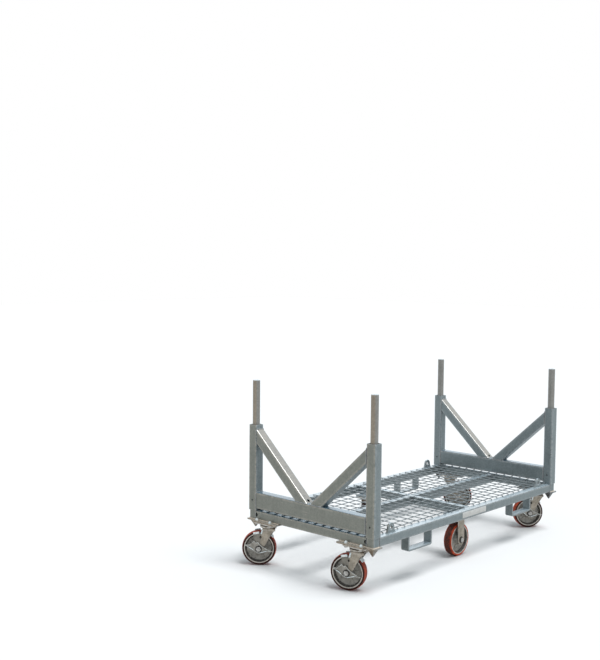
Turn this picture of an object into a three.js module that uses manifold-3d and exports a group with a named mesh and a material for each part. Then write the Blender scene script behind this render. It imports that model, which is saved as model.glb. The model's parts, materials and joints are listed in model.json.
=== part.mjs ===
// Long material cart: a galvanised steel base on six casters, with a welded mesh deck, two
// lift-off end frames, four round stakes, fork pockets under the side rails and stacking spikes.
// Millimetres, +Z up. X runs along the cart, the front end at -X, the right side at -Y.
// The origin is on the floor, under the middle of the deck.
import * as THREE from 'three';
import { mergeVertices } from 'three/addons/utils/BufferGeometryUtils.js';
import Module from 'manifold-3d';

const wasm = await Module();
wasm.setup();

// Working values
const overrun = 5; // how far a cutting tool runs past what it cuts
const weld_sink = 1; // how far welded pieces run into each other
const face_gap = 0.3; // gap between pieces that turn or rest on each other
const round_sides = 20; // sides of a wheel
const rod_sides = 12; // sides of a pipe, pin or boss
const hole_sides = 8; // sides of a small hole
const eye_sides = 12; // sides of a lug's hole and top
const nut_sides = 6;
const spike_sides = 4;
const corner_steps = 2; // steps round a tube's corner

// Wheels, the same on all six casters
const wheel_diameter = 200;
const wheel_width = 50;
const tyre_depth = 13;
const tyre_crown = 4; // how far the tread falls away towards its edges
const tread_share = 0.35; // half of the flat part of the tread, as a share of the width
const rim_depth = 11;
const rim_slope = 5; // the rim's inner side widens towards its edges
const web_thickness = 14;
const hub_diameter = 58;
const hub_overhang = 4; // the hub stands out this far past each side of the tyre
const hub_slope = 4;
const axle_diameter = 19;

// Swivel casters
const top_plate_length = 135; // along Y
const top_plate_width = 110; // along X
const top_plate_thickness = 7;
const top_plate_corner = 10;
const bolt_spacing_length = 105;
const bolt_spacing_width = 80;
const bolt_head_size = 19; // across the corners
const bolt_head_height = 8;
const upper_race_diameter = 84;
const upper_race_height = 10;
const lower_race_diameter = 92;
const lower_race_height = 10.7;
const kingpin_diameter = 20;
const kingpin_nut_diameter = 32;
const kingpin_nut_height = 6;
const crown_thickness = 6;
const tyre_clearance = 16; // from the tyre up to the fork's crown
const side_clearance = 2; // from the hub to the fork's legs
const leg_thickness = 5;
const trail = 50; // from the swivel's axis to the axle
const pivot_inset = 30; // from the posts' outer faces to the swivel's axis
const caster_headings = { // degrees from +X, where the casters trail at rest
  front_right: 110,
  front_left: 128,
  rear_right: 142,
  rear_left: 308,
};
const crown_front = 46; // from the swivel's axis forward
const crown_back = 30; // and backward, to the brake's notch
const leg_foot_radius = 34;
const leg_foot_from_share = 0.43; // where the leg's round foot begins and ends, in turns from the
const leg_foot_to_share = 1.02; // way that it trails
const leg_notch_rise = 86; // heights above the axle
const leg_tail_rise = 80;
const leg_tail_reach = 32; // behind the axle
const leg_notch_reach = 8; // in front of the axle
const leg_hole_diameter = 13;
const leg_hole_rise = 68;
const leg_hole_reach = 11;
const leg_tab_width = 10;
const leg_tab_thickness = 5;
const nut_size = 30; // across the corners
const nut_height = 10;

// Brake lever, a flat rocker on the axle
const lever_thickness = 5;
const lever_reach = 84;
const lever_bore_clearance = 0.5;
const lever_shares = [
  [0.96, 0.28], [0.63, 0.28], [0.29, 0.57], [0.11, 0.41], [-0.16, 0.26], [-0.32, 0.15],
  [-0.63, -0.01], [-0.99, -0.15], [-0.58, -0.14], [-0.14, -0.27], [0.04, -0.28], [0.32, -0.13],
  [0.47, 0], [0.77, 0.16],
];

// Fixed casters, under the middle of each side
const bracket_leg_width = 64;
const fixed_inset = 130; // from the posts' outer faces to the wheel's middle

// Posts, sleeves of square tube over the corner stubs
const cart_length = 1920; // over the posts
const cart_width = 940;
const post_size = 60;
const post_wall = 4;
const post_corner = 8;
const post_height = 503;
const sleeve_clearance = 1;
const pin_hole_diameter = 11;
const pin_hole_rise = 60; // above the base rails

// Corner stubs, with their plate and stacking spike
const stub_wall = 3;
const stub_corner = 6;
const stub_rise = 150; // above the base rails
const corner_plate_thickness = 8;
const corner_plate_overhang = 45; // past the caster's plate, towards the cart's middle
const foot_plate_size = 75;
const spike_base = 48;
const spike_tip = 6;
const spike_clearance = 6; // over the top of the wheels
const spike_plate_clearance = 10;

// Base rails
const base_rail = 50;
const base_rail_wall = 3;
const base_rail_corner = 6;
const vent_notch_radius = 11.5;
const vent_notch_drop = 23; // below the rail's top
const vent_notch_inset = 4; // from the stub to the notch's middle

// Mesh deck, two panels that meet on the cross member
const wire_diameter = 5;
const long_wire_pitch = 61;
const long_wire_count = 14;
const cross_wire_pitch = 130;
const cross_wire_count = 7; // in each panel
const cross_wire_inset = 10; // from the last cross wire to the stub
const wire_tip_end = 45; // how far the long wires' tips run over the end rail
const wire_tip_clearance = 4; // from the cross wires' tips, over the side rails, to the lugs
const panel_gap = 10; // between the two panels, on the cross member
const deck_clearance = 4; // under the end frames' bottom rails

// End frames
const bottom_rail_height = 95;
const bottom_rail_wall = 4;
const bottom_rail_corner = 8;
const brace_size = 60;
const brace_wall = 4;
const brace_top_drop = 25; // below the post's top
const brace_foot_gap = 10; // from the frame's middle to the brace's upper edge
const drain_hole_diameter = 14;
const drain_hole_reach = 32; // from the brace's foot

// Stakes, round pipes that stand in the stubs
const stake_clearance = 0.8;
const stake_wall = 3;
const stake_length = 815;
const stake_dome = 3;
const stake_edge = 5;

// Fork pockets, bars bent to a U under the side rails
const pocket_centre_share = 0.5625; // of the way from the cart's middle to the posts' outer faces
const pocket_opening = 200;
const pocket_drop = 70; // clear height under the rail
const pocket_bar_width = 50;
const pocket_bar_thickness = 10;
const pocket_bend_radius = 14;

// Lifting lugs
const lug_post_gap = 85; // along the rail, from the post's foot to the lug's
const lug_base = 70;
const lug_top_radius = 27;
const lug_hole_rise = 28;
const lug_hole_diameter = 23;
const lug_thickness = 12;

// Blank sign plate on the right side rail
const sign_length = 250;
const sign_height = 33;
const sign_thickness = 1;
const sign_drop = 6; // below the rail's top

// Levels above the floor
const axle_height = wheel_diameter / 2;
const crown_bottom = wheel_diameter + tyre_clearance;
const crown_top = crown_bottom + crown_thickness;
const lower_race_top = crown_top + lower_race_height;
const upper_race_bottom = lower_race_top + face_gap;
const top_plate_bottom = upper_race_bottom + upper_race_height;
const caster_height = top_plate_bottom + top_plate_thickness;
const rail_bottom = caster_height + corner_plate_thickness;
const rail_top = rail_bottom + base_rail;
const post_top = rail_top + post_height;
const mesh_top = rail_top + wire_diameter * 2;
const bottom_rail_bottom = mesh_top + deck_clearance;
const bottom_rail_top = bottom_rail_bottom + bottom_rail_height;
const pin_hole_z = rail_top + pin_hole_rise;
const spike_tip_z = wheel_diameter + spike_clearance;

// Places from the middle outward
const stub_size = post_size - (post_wall + sleeve_clearance) * 2;
const stub_x = (cart_length - post_size) / 2;
const stub_y = (cart_width - post_size) / 2;
const rail_outer_x = stub_x + stub_size / 2;
const rail_outer_y = stub_y + stub_size / 2;
const rail_inner_x = rail_outer_x - base_rail;
const rail_inner_y = rail_outer_y - base_rail;
const stub_inner_x = stub_x - stub_size / 2;
const stub_inner_y = stub_y - stub_size / 2;
const post_outer_x = cart_length / 2;
const post_inner_x = post_outer_x - post_size;
const post_inner_y = cart_width / 2 - post_size;
const pocket_x = post_outer_x * pocket_centre_share;
const lug_x = post_inner_x - lug_post_gap - lug_base / 2;
const pivot_x = post_outer_x - pivot_inset;
const pivot_y = stub_y - spike_base / 2 - spike_plate_clearance - top_plate_length / 2;
const fixed_y = cart_width / 2 - fixed_inset;
const stake_diameter = stub_size - (stub_wall + stake_clearance) * 2;

// Places across a caster, from the wheel's middle
const hub_side = wheel_width / 2 + hub_overhang;
const leg_inner = hub_side + side_clearance;
const leg_outer = leg_inner + leg_thickness;
const lever_inner = leg_outer + face_gap;
const lever_outer = lever_inner + lever_thickness;
const nut_inner = lever_outer + face_gap;

// Finishes
const galvanised = { color: 0x8b9396, roughness: 0.5, metalness: 0.7 };
const plated = { color: 0x9d978a, roughness: 0.4, metalness: 0.8 };
const iron = { color: 0x5b5855, roughness: 0.7, metalness: 0.4 };
const polyurethane = { color: 0xa23a2a, roughness: 0.55, metalness: 0 };
const blank_sign = { color: 0xd9dcdc, roughness: 0.5, metalness: 0 };

// Turns a closed geometry into a solid that can be cut and joined.
function toSolid(geometry) {
  const bare = geometry.clone();
  bare.deleteAttribute('normal');
  bare.deleteAttribute('uv');
  const merged = mergeVertices(bare);
  const vertProperties = new Float32Array(merged.attributes.position.array);
  const triVerts = new Uint32Array(merged.index.array);
  return new wasm.Manifold(new wasm.Mesh({ numProp: 3, vertProperties, triVerts }));
}

// Gives a solid back as a geometry.
function toGeometry(solid) {
  const mesh = solid.getMesh();
  const geometry = new THREE.BufferGeometry();
  geometry.setAttribute('position', new THREE.BufferAttribute(mesh.vertProperties, mesh.numProp));
  geometry.setIndex(new THREE.BufferAttribute(mesh.triVerts, 1));
  geometry.computeVertexNormals();
  return geometry;
}

// Joins any number of geometries that run into each other.
function join(first, ...others) {
  return toGeometry(others.reduce((whole, other) => whole.add(toSolid(other)), toSolid(first)));
}

// Cuts any number of tools out of a geometry.
function cut(whole, ...tools) {
  return toGeometry(tools.reduce((rest, tool) => rest.subtract(toSolid(tool)), toSolid(whole)));
}

// A block between two corners.
function block(low, high) {
  const size = high.map((value, axis) => value - low[axis]);
  const middle = high.map((value, axis) => (value + low[axis]) / 2);
  return new THREE.BoxGeometry(...size).translate(...middle);
}

// Extrudes an outline along Z, from one height to another.
function extrudeZ(points, from, to, holes = []) {
  const shape = new THREE.Shape(points);
  shape.holes = holes.map((hole) => new THREE.Path(hole));
  const settings = { depth: to - from, bevelEnabled: false };
  return new THREE.ExtrudeGeometry(shape, settings).translate(0, 0, from);
}

// Extrudes an outline drawn in X and Z along Y.
function extrudeY(points, from, to, holes = []) {
  return extrudeZ(points, 0, to - from, holes).rotateX(Math.PI / 2).translate(0, to, 0);
}

// Extrudes an outline drawn in Y and Z along X.
function extrudeX(points, from, to, holes = []) {
  const turn = new THREE.Matrix4().makeBasis(
    new THREE.Vector3(0, 1, 0),
    new THREE.Vector3(0, 0, 1),
    new THREE.Vector3(1, 0, 0),
  );
  return extrudeZ(points, from, to, holes).applyMatrix4(turn);
}

// Points on an arc, angles in turns.
function arc(x, y, radius, from, to, steps) {
  return Array.from({ length: steps + 1 }, (_, step) => {
    const angle = (from + ((to - from) * step) / steps) * Math.PI * 2;
    return new THREE.Vector2(x + radius * Math.cos(angle), y + radius * Math.sin(angle));
  });
}

// A rectangle between two corners, with its corners rounded where a radius is given.
function rectangle(x0, y0, x1, y1, radius = 0) {
  if (radius === 0) {
    return [[x0, y0], [x1, y0], [x1, y1], [x0, y1]].map(([x, y]) => new THREE.Vector2(x, y));
  }
  return [
    ...arc(x0 + radius, y0 + radius, radius, 0.5, 0.75, corner_steps),
    ...arc(x1 - radius, y0 + radius, radius, 0.75, 1, corner_steps),
    ...arc(x1 - radius, y1 - radius, radius, 0, 0.25, corner_steps),
    ...arc(x0 + radius, y1 - radius, radius, 0.25, 0.5, corner_steps),
  ];
}

// A rod along one axis, given as 'x', 'y' or 'z', centred across it at the other two places.
function rod(axis, diameter, from, to, a, b, sides = rod_sides) {
  const body = new THREE.CylinderGeometry(diameter / 2, diameter / 2, to - from, sides);
  body.translate(0, (to + from) / 2, 0);
  if (axis === 'x') {
    return body.rotateZ(-Math.PI / 2).translate(0, a, b);
  }
  if (axis === 'y') {
    return body.translate(a, 0, b);
  }
  return body.rotateX(Math.PI / 2).translate(a, b, 0);
}

// Turns a profile of radius and height round the Z axis, with a flat side facing -X and -Y.
function turned(profile, sides) {
  const points = profile.map(([radius, height]) => new THREE.Vector2(radius, height));
  return new THREE.LatheGeometry(points, sides, Math.PI / sides).rotateX(Math.PI / 2);
}

// The radius at the corners of a regular outline whose flat sides lie at the given radius.
function cornerRadius(flat, sides) {
  return flat / Math.cos(Math.PI / sides);
}

// Adds a named mesh to a group.
function addMesh(group, name, geometry, finish) {
  const mesh = new THREE.Mesh(geometry, new THREE.MeshStandardMaterial(finish));
  mesh.name = name;
  group.add(mesh);
}

// Base rails
function sideRail(side) {
  const faces = [side * rail_inner_y, side * rail_outer_y].sort((a, b) => a - b);
  const outer = rectangle(faces[0], rail_bottom, faces[1], rail_top, base_rail_corner);
  const inner = rectangle(
    faces[0] + base_rail_wall,
    rail_bottom + base_rail_wall,
    faces[1] - base_rail_wall,
    rail_top - base_rail_wall,
  );
  return extrudeX(outer, -stub_inner_x, stub_inner_x, [inner]);
}

function endRail(end) {
  const faces = [end * rail_inner_x, end * rail_outer_x].sort((a, b) => a - b);
  const outer = rectangle(faces[0], rail_bottom, faces[1], rail_top, base_rail_corner);
  const inner = rectangle(
    faces[0] + base_rail_wall,
    rail_bottom + base_rail_wall,
    faces[1] - base_rail_wall,
    rail_top - base_rail_wall,
  );
  const rail = extrudeY(outer, -stub_inner_y, stub_inner_y, [inner]);
  const wall = [end * (rail_outer_x - base_rail / 2), end * (rail_outer_x + overrun)];
  const notches = [-1, 1].map((side) => rod(
    'x',
    vent_notch_radius * 2,
    Math.min(...wall),
    Math.max(...wall),
    side * (stub_inner_y - vent_notch_inset),
    rail_top - vent_notch_drop,
    hole_sides,
  ));
  return cut(rail, ...notches);
}

// The cross member, the two centre rails that meet it and the fixed casters' mounting plates
function centreFrame() {
  const half = base_rail / 2;
  const wall = base_rail_wall;
  const tubes = join(
    block([-half, -rail_inner_y, rail_bottom], [half, rail_inner_y, rail_top]),
    block([-rail_inner_x, -half, rail_bottom], [rail_inner_x, half, rail_top]),
  );
  const bores = [
    block(
      [wall - half, -rail_inner_y - overrun, rail_bottom + wall],
      [half - wall, rail_inner_y + overrun, rail_top - wall],
    ),
    block(
      [-rail_inner_x - overrun, wall - half, rail_bottom + wall],
      [rail_inner_x + overrun, half - wall, rail_top - wall],
    ),
  ];
  const plates = [-1, 1].map((side) => extrudeZ(
    fixedPlateOutline(side),
    caster_height,
    rail_bottom + weld_sink,
  ));
  return join(cut(tubes, ...bores), ...plates);
}

// Corner stub with its plate and spike
function cornerStub(end, side) {
  const x = end * stub_x;
  const y = side * stub_y;
  const half = stub_size / 2;
  const bore = half - stub_wall;
  const tube = extrudeZ(
    rectangle(x - half, y - half, x + half, y + half, stub_corner),
    rail_bottom - weld_sink,
    rail_top + stub_rise,
    [rectangle(x - bore, y - bore, x + bore, y + bore)],
  );
  const foot = foot_plate_size / 2;
  const foot_plate = extrudeZ(
    rectangle(x - foot, y - foot, x + foot, y + foot, stub_corner),
    caster_height,
    rail_bottom,
  );
  const plate_x = end * pivot_x;
  const plate_end = pivot_y - top_plate_length / 2 - corner_plate_overhang;
  const plate_y = [side * plate_end, side * stub_inner_y].sort((a, b) => a - b);
  const caster_plate = extrudeZ(
    rectangle(
      plate_x - top_plate_width / 2,
      plate_y[0],
      plate_x + top_plate_width / 2,
      plate_y[1],
      top_plate_corner,
    ),
    caster_height,
    rail_bottom,
  );
  const spike = new THREE.CylinderGeometry(
    spike_base / Math.SQRT2,
    spike_tip / Math.SQRT2,
    caster_height + weld_sink - spike_tip_z,
    spike_sides,
  );
  spike.rotateY(Math.PI / spike_sides).rotateX(Math.PI / 2);
  spike.translate(x, y, (caster_height + weld_sink + spike_tip_z) / 2);
  const hole = rod('x', pin_hole_diameter, x - post_size, x + post_size, y, pin_hole_z, hole_sides);
  return cut(join(foot_plate, caster_plate, tube, spike), hole);
}

// One half of the mesh deck: bars where the wires run, with their tips over the rails
function meshPanel(end) {
  const half = wire_diameter / 2;
  const last = stub_inner_x - cross_wire_inset;
  const across = Array.from({ length: cross_wire_count }, (_, row) => (
    last - (cross_wire_count - 1 - row) * cross_wire_pitch
  ));
  const along = Array.from({ length: long_wire_count }, (_, row) => (
    (row - (long_wire_count - 1) / 2) * long_wire_pitch
  ));
  const edges = (middles) => middles.flatMap((middle) => [middle - half, middle + half]);
  const tip = stub_y - lug_thickness / 2 - wire_tip_clearance;
  const panel = lattice(
    [panel_gap / 2, ...edges(across), stub_inner_x + wire_tip_end],
    [-tip, ...edges(along), tip],
    rail_top,
    mesh_top,
  );
  return end > 0 ? panel : panel.rotateZ(Math.PI);
}

// A closed grating between two heights. Bars fill every second strip between the given places,
// counted from the second one, both ways.
function lattice(xs, ys, low, high) {
  const corners = [];
  const filled = (i, j) => (
    i >= 0 && j >= 0 && i < xs.length - 1 && j < ys.length - 1 && (i % 2 === 1 || j % 2 === 1)
  );
  const quad = (a, b, c, d) => corners.push(...a, ...b, ...c, ...a, ...c, ...d);
  for (let i = 0; i < xs.length - 1; i += 1) {
    for (let j = 0; j < ys.length - 1; j += 1) {
      if (filled(i, j)) {
        const [x0, x1, y0, y1] = [xs[i], xs[i + 1], ys[j], ys[j + 1]];
        quad([x0, y0, high], [x1, y0, high], [x1, y1, high], [x0, y1, high]);
        quad([x0, y1, low], [x1, y1, low], [x1, y0, low], [x0, y0, low]);
        if (!filled(i - 1, j)) quad([x0, y1, low], [x0, y0, low], [x0, y0, high], [x0, y1, high]);
        if (!filled(i + 1, j)) quad([x1, y0, low], [x1, y1, low], [x1, y1, high], [x1, y0, high]);
        if (!filled(i, j - 1)) quad([x0, y0, low], [x1, y0, low], [x1, y0, high], [x0, y0, high]);
        if (!filled(i, j + 1)) quad([x1, y1, low], [x0, y1, low], [x0, y1, high], [x1, y1, high]);
      }
    }
  }
  const geometry = new THREE.BufferGeometry();
  geometry.setAttribute('position', new THREE.Float32BufferAttribute(corners, 3));
  geometry.computeVertexNormals();
  return geometry;
}

// Fork pocket: a flat bar bent to a U
function forkPocket(end, side) {
  const x = end * pocket_x;
  const inner = pocket_opening / 2;
  const outer = inner + pocket_bar_thickness;
  const bottom = rail_bottom - pocket_drop;
  const floor = bottom - pocket_bar_thickness;
  const bend = pocket_bend_radius;
  const outline = [
    ...arc(x - outer + bend, floor + bend, bend, 0.5, 0.75, corner_steps),
    ...arc(x + outer - bend, floor + bend, bend, 0.75, 1, corner_steps),
    new THREE.Vector2(x + outer, rail_bottom),
    new THREE.Vector2(x + inner, rail_bottom),
    new THREE.Vector2(x + inner, bottom),
    new THREE.Vector2(x - inner, bottom),
    new THREE.Vector2(x - inner, rail_bottom),
    new THREE.Vector2(x - outer, rail_bottom),
  ];
  const faces = [side * (rail_outer_y - pocket_bar_width), side * rail_outer_y];
  return extrudeY(outline, Math.min(...faces), Math.max(...faces));
}

// Lifting lug: a plate with a round top and a hole, standing on the side rail
function liftingLug(end, side) {
  const x = end * lug_x;
  const eye = rail_top + lug_hole_rise;
  const outline = [
    new THREE.Vector2(x - lug_base / 2, rail_top),
    new THREE.Vector2(x + lug_base / 2, rail_top),
    ...arc(x, eye, lug_top_radius, 0, 0.5, eye_sides / 2),
  ];
  const hole = arc(x, eye, lug_hole_diameter / 2, 0, 1, eye_sides).slice(1);
  const y = side * stub_y;
  return extrudeY(outline, y - lug_thickness / 2, y + lug_thickness / 2, [hole]);
}

function signPlate() {
  const top = rail_top - sign_drop;
  return block(
    [-sign_length / 2, -rail_outer_y - sign_thickness, top - sign_height],
    [sign_length / 2, -rail_outer_y, top],
  );
}

// End frames
function post(end, side) {
  const x = end * stub_x;
  const y = side * stub_y;
  const half = post_size / 2;
  const bore = half - post_wall;
  const tube = extrudeZ(
    rectangle(x - half, y - half, x + half, y + half, post_corner),
    rail_top,
    post_top,
    [rectangle(x - bore, y - bore, x + bore, y + bore)],
  );
  return cut(tube, rod('x', pin_hole_diameter, x - post_size, x + post_size, y, pin_hole_z, hole_sides));
}

function bottomRail(end) {
  const faces = [end * post_inner_x, end * post_outer_x].sort((a, b) => a - b);
  const wall = bottom_rail_wall;
  const corner = bottom_rail_corner;
  return extrudeY(
    rectangle(faces[0], bottom_rail_bottom, faces[1], bottom_rail_top, corner),
    -post_inner_y,
    post_inner_y,
    [rectangle(faces[0] + wall, bottom_rail_bottom + wall, faces[1] - wall, bottom_rail_top - wall)],
  );
}

function brace(end, side) {
  const top = post_top - brace_top_drop;
  const run = post_inner_y - brace_foot_gap;
  const rise = top - bottom_rail_top;
  const length = Math.hypot(run, rise);
  const outer = braceOutline(side, 0, brace_size);
  const inner = braceOutline(side, brace_wall, brace_size - brace_wall, overrun);
  const faces = [end * (post_outer_x - brace_size), end * post_outer_x].sort((a, b) => a - b);
  const tube = cut(
    extrudeX(outer, faces[0], faces[1]),
    extrudeX(inner, faces[0] + brace_wall, faces[1] - brace_wall),
  );
  const drain = rod('z', drain_hole_diameter, -brace_size / 2, overrun, 0, 0, hole_sides);
  drain.rotateX(side * Math.atan2(rise, run));
  drain.translate(
    (faces[0] + faces[1]) / 2,
    side * (brace_foot_gap + (run * drain_hole_reach) / length),
    bottom_rail_top + (rise * drain_hole_reach) / length,
  );
  return cut(tube, drain);
}

// The slanted outline between two depths below the brace's upper edge. It runs from the bottom
// rail's top to the post, and past both by the given amount along the brace.
function braceOutline(side, upper, lower, past = 0) {
  const top = post_top - brace_top_drop;
  const run = post_inner_y - brace_foot_gap;
  const rise = top - bottom_rail_top;
  const length = Math.hypot(run, rise);
  const across = (depth) => (depth * length) / rise;
  const down = (depth) => (depth * length) / run;
  const points = [
    [brace_foot_gap + across(upper) - (run * past) / length, bottom_rail_top - (rise * past) / length],
    [post_inner_y + (run * past) / length, top - down(upper) + (rise * past) / length],
    [post_inner_y + (run * past) / length, top - down(lower) + (rise * past) / length],
    [brace_foot_gap + across(lower) - (run * past) / length, bottom_rail_top - (rise * past) / length],
  ];
  return points.map(([y, z]) => new THREE.Vector2(side * y, z));
}

// Stake: a round pipe, closed at its domed top
function stake(end, side) {
  const radius = stake_diameter / 2;
  const bore = radius - stake_wall;
  const bottom = rail_bottom;
  const top = bottom + stake_length;
  const profile = [
    [bore, bottom],
    [radius, bottom],
    [radius, top - stake_edge],
    [radius - stake_edge, top - stake_dome / 2],
    [0, top],
    [0, top - stake_wall - stake_dome],
    [bore, top - stake_wall - stake_edge],
    [bore, bottom],
  ];
  return turned(profile, rod_sides).translate(end * stub_x, side * stub_y, 0);
}

// Wheels, turned round the axle along the caster's own Y
function wheelProfileTyre() {
  const half = wheel_width / 2;
  const tread = wheel_width * tread_share;
  const seat = cornerRadius(wheel_diameter / 2 - tyre_depth, round_sides) + face_gap;
  const top = cornerRadius(wheel_diameter / 2, round_sides);
  return [
    [seat, -half],
    [top - tyre_crown, -half],
    [top, -tread],
    [top, tread],
    [top - tyre_crown, half],
    [seat, half],
    [seat, -half],
  ];
}

function wheelProfileCore() {
  const half = wheel_width / 2;
  const rim = cornerRadius(wheel_diameter / 2 - tyre_depth, round_sides);
  const bore = cornerRadius(axle_diameter / 2 + face_gap, round_sides);
  const hub = hub_diameter / 2;
  const web = web_thickness / 2;
  const rim_inner = rim - rim_depth;
  return [
    [bore, -hub_side],
    [hub, -hub_side],
    [hub + hub_slope, -web],
    [rim_inner, -web],
    [rim_inner + rim_slope, -half],
    [rim, -half],
    [rim, half],
    [rim_inner + rim_slope, half],
    [rim_inner, web],
    [hub + hub_slope, web],
    [hub, hub_side],
    [bore, hub_side],
    [bore, -hub_side],
  ];
}

// A turned wheel piece stood upright, its axle along Y and a flat side down.
function upright(profile) {
  return turned(profile, round_sides).rotateX(Math.PI / 2);
}

// Caster pieces
function plateOutline(x, y, length_x, length_y) {
  return rectangle(
    x - length_x / 2,
    y - length_y / 2,
    x + length_x / 2,
    y + length_y / 2,
    top_plate_corner,
  );
}

function fixedPlateOutline(side) {
  return plateOutline(0, side * fixed_y, top_plate_length, top_plate_width);
}

function boltHeads(spacing_x, spacing_y) {
  const places = [[-1, -1], [1, -1], [1, 1], [-1, 1]];
  return places.map(([x, y]) => rod(
    'z',
    bolt_head_size,
    top_plate_bottom - bolt_head_height,
    top_plate_bottom + weld_sink,
    (x * spacing_x) / 2,
    (y * spacing_y) / 2,
    nut_sides,
  ));
}

// The plate that bolts to the corner, with the upper race and the kingpin
function swivelPlate() {
  const plate = extrudeZ(
    plateOutline(0, 0, top_plate_width, top_plate_length),
    top_plate_bottom,
    caster_height,
  );
  const race = upper_race_diameter / 2;
  const pin = kingpin_diameter / 2;
  const nut = kingpin_nut_diameter / 2;
  const nut_top = crown_bottom - face_gap;
  const bearing = turned([
    [0, nut_top - kingpin_nut_height],
    [nut, nut_top - kingpin_nut_height],
    [nut, nut_top],
    [pin, nut_top],
    [pin, upper_race_bottom],
    [race, upper_race_bottom],
    [race, top_plate_bottom + weld_sink],
    [0, top_plate_bottom + weld_sink],
  ], rod_sides);
  return join(plate, bearing, ...boltHeads(bolt_spacing_width, bolt_spacing_length));
}

// The swivel fork, with its lower race, its legs and the axle bolt clamped in them.
// X is the way that the wheel trails.
function swivelFork() {
  const crown = block(
    [-crown_front, -leg_outer, crown_bottom],
    [crown_back, leg_outer, crown_top],
  );
  const race = rod('z', lower_race_diameter, crown_top - weld_sink, lower_race_top, 0, 0);
  const spot = [trail - leg_hole_reach, axle_height + leg_hole_rise];
  const hole = arc(...spot, leg_hole_diameter / 2, 0, 1, hole_sides).slice(1);
  const legs = [-leg_outer, leg_inner].map((from) => (
    extrudeY(legOutline(), from, from + leg_thickness, [hole])
  ));
  const tabs = [-leg_outer - leg_tab_width, leg_outer - weld_sink].map((from) => (
    extrudeY(tabOutline(), from, from + leg_tab_width + weld_sink)
  ));
  const axle = axleBolt(trail, nut_inner);
  const bore = cornerRadius(kingpin_diameter / 2 + face_gap, rod_sides) * 2;
  return cut(
    join(crown, race, ...legs, ...tabs, ...axle),
    rod('z', bore, crown_bottom - overrun, lower_race_top + overrun, 0, 0),
  );
}

function legOutline() {
  const foot = arc(
    trail,
    axle_height,
    leg_foot_radius,
    leg_foot_from_share,
    leg_foot_to_share,
    rod_sides / 2,
  );
  return [
    new THREE.Vector2(-crown_front, crown_top),
    ...foot,
    new THREE.Vector2(trail + leg_tail_reach, axle_height + leg_tail_rise),
    new THREE.Vector2(trail - leg_notch_reach, axle_height + leg_notch_rise),
    new THREE.Vector2(crown_back, crown_bottom),
    new THREE.Vector2(crown_back, crown_top),
  ];
}

function tabOutline() {
  const back = trail + leg_tail_reach;
  const front = trail - leg_notch_reach;
  return [
    new THREE.Vector2(front, axle_height + leg_notch_rise - leg_tab_thickness),
    new THREE.Vector2(back, axle_height + leg_tail_rise - leg_tab_thickness),
    new THREE.Vector2(back, axle_height + leg_tail_rise),
    new THREE.Vector2(front, axle_height + leg_notch_rise),
  ];
}

// The axle bolt: its head on the outside of one leg, its nut standing at the given place on the
// other side.
function axleBolt(x, nut_from) {
  const head_from = -leg_outer - nut_height;
  return [
    rod('y', axle_diameter, weld_sink - leg_outer, nut_from + weld_sink, x, axle_height),
    rod('y', nut_size, head_from, weld_sink - leg_outer, x, axle_height, nut_sides),
    rod('y', nut_size, nut_from, nut_from + nut_height, x, axle_height, nut_sides),
  ];
}

function brakeLever() {
  const outline = lever_shares.map(([along, up]) => new THREE.Vector2(
    trail + along * lever_reach,
    axle_height + up * lever_reach,
  ));
  const bore = cornerRadius(axle_diameter / 2 + lever_bore_clearance, rod_sides);
  const hole = arc(trail, axle_height, bore, 0, 1, rod_sides).slice(1);
  return extrudeY(outline, lever_inner, lever_outer, [hole]);
}

// The fixed bracket: a bolted plate with two straight legs and the axle bolt
function fixedBracket() {
  const plate = extrudeZ(
    plateOutline(0, 0, top_plate_length, top_plate_width),
    top_plate_bottom,
    caster_height,
  );
  const half = bracket_leg_width / 2;
  const outline = [
    ...arc(0, axle_height, half, 0.5, 1, rod_sides / 2),
    new THREE.Vector2(half, top_plate_bottom + weld_sink),
    new THREE.Vector2(-half, top_plate_bottom + weld_sink),
  ];
  const legs = [-leg_outer, leg_inner].map((from) => extrudeY(outline, from, from + leg_thickness));
  const heads = boltHeads(bolt_spacing_length, bolt_spacing_width);
  const axle = axleBolt(0, leg_outer - weld_sink);
  return join(plate, ...legs, ...heads, ...axle);
}

// Assembly
const cart = new THREE.Group();
const ends = [['front', -1], ['rear', 1]];
const sides = [['right', -1], ['left', 1]];

addMesh(cart, 'centre_frame', centreFrame(), galvanised);
addMesh(cart, 'sign_plate', signPlate(), blank_sign);

for (const [side_name, side] of sides) {
  addMesh(cart, `${side_name}_side_rail`, sideRail(side), galvanised);

  const caster = new THREE.Group();
  caster.position.set(0, side * fixed_y, 0);
  addMesh(caster, `middle_${side_name}_fixed_bracket`, fixedBracket(), plated);
  const wheel = new THREE.Group();
  wheel.position.z = axle_height;
  addMesh(wheel, `middle_${side_name}_wheel_core`, upright(wheelProfileCore()), iron);
  addMesh(wheel, `middle_${side_name}_tyre`, upright(wheelProfileTyre()), polyurethane);
  caster.add(wheel);
  cart.add(caster);
}

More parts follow.
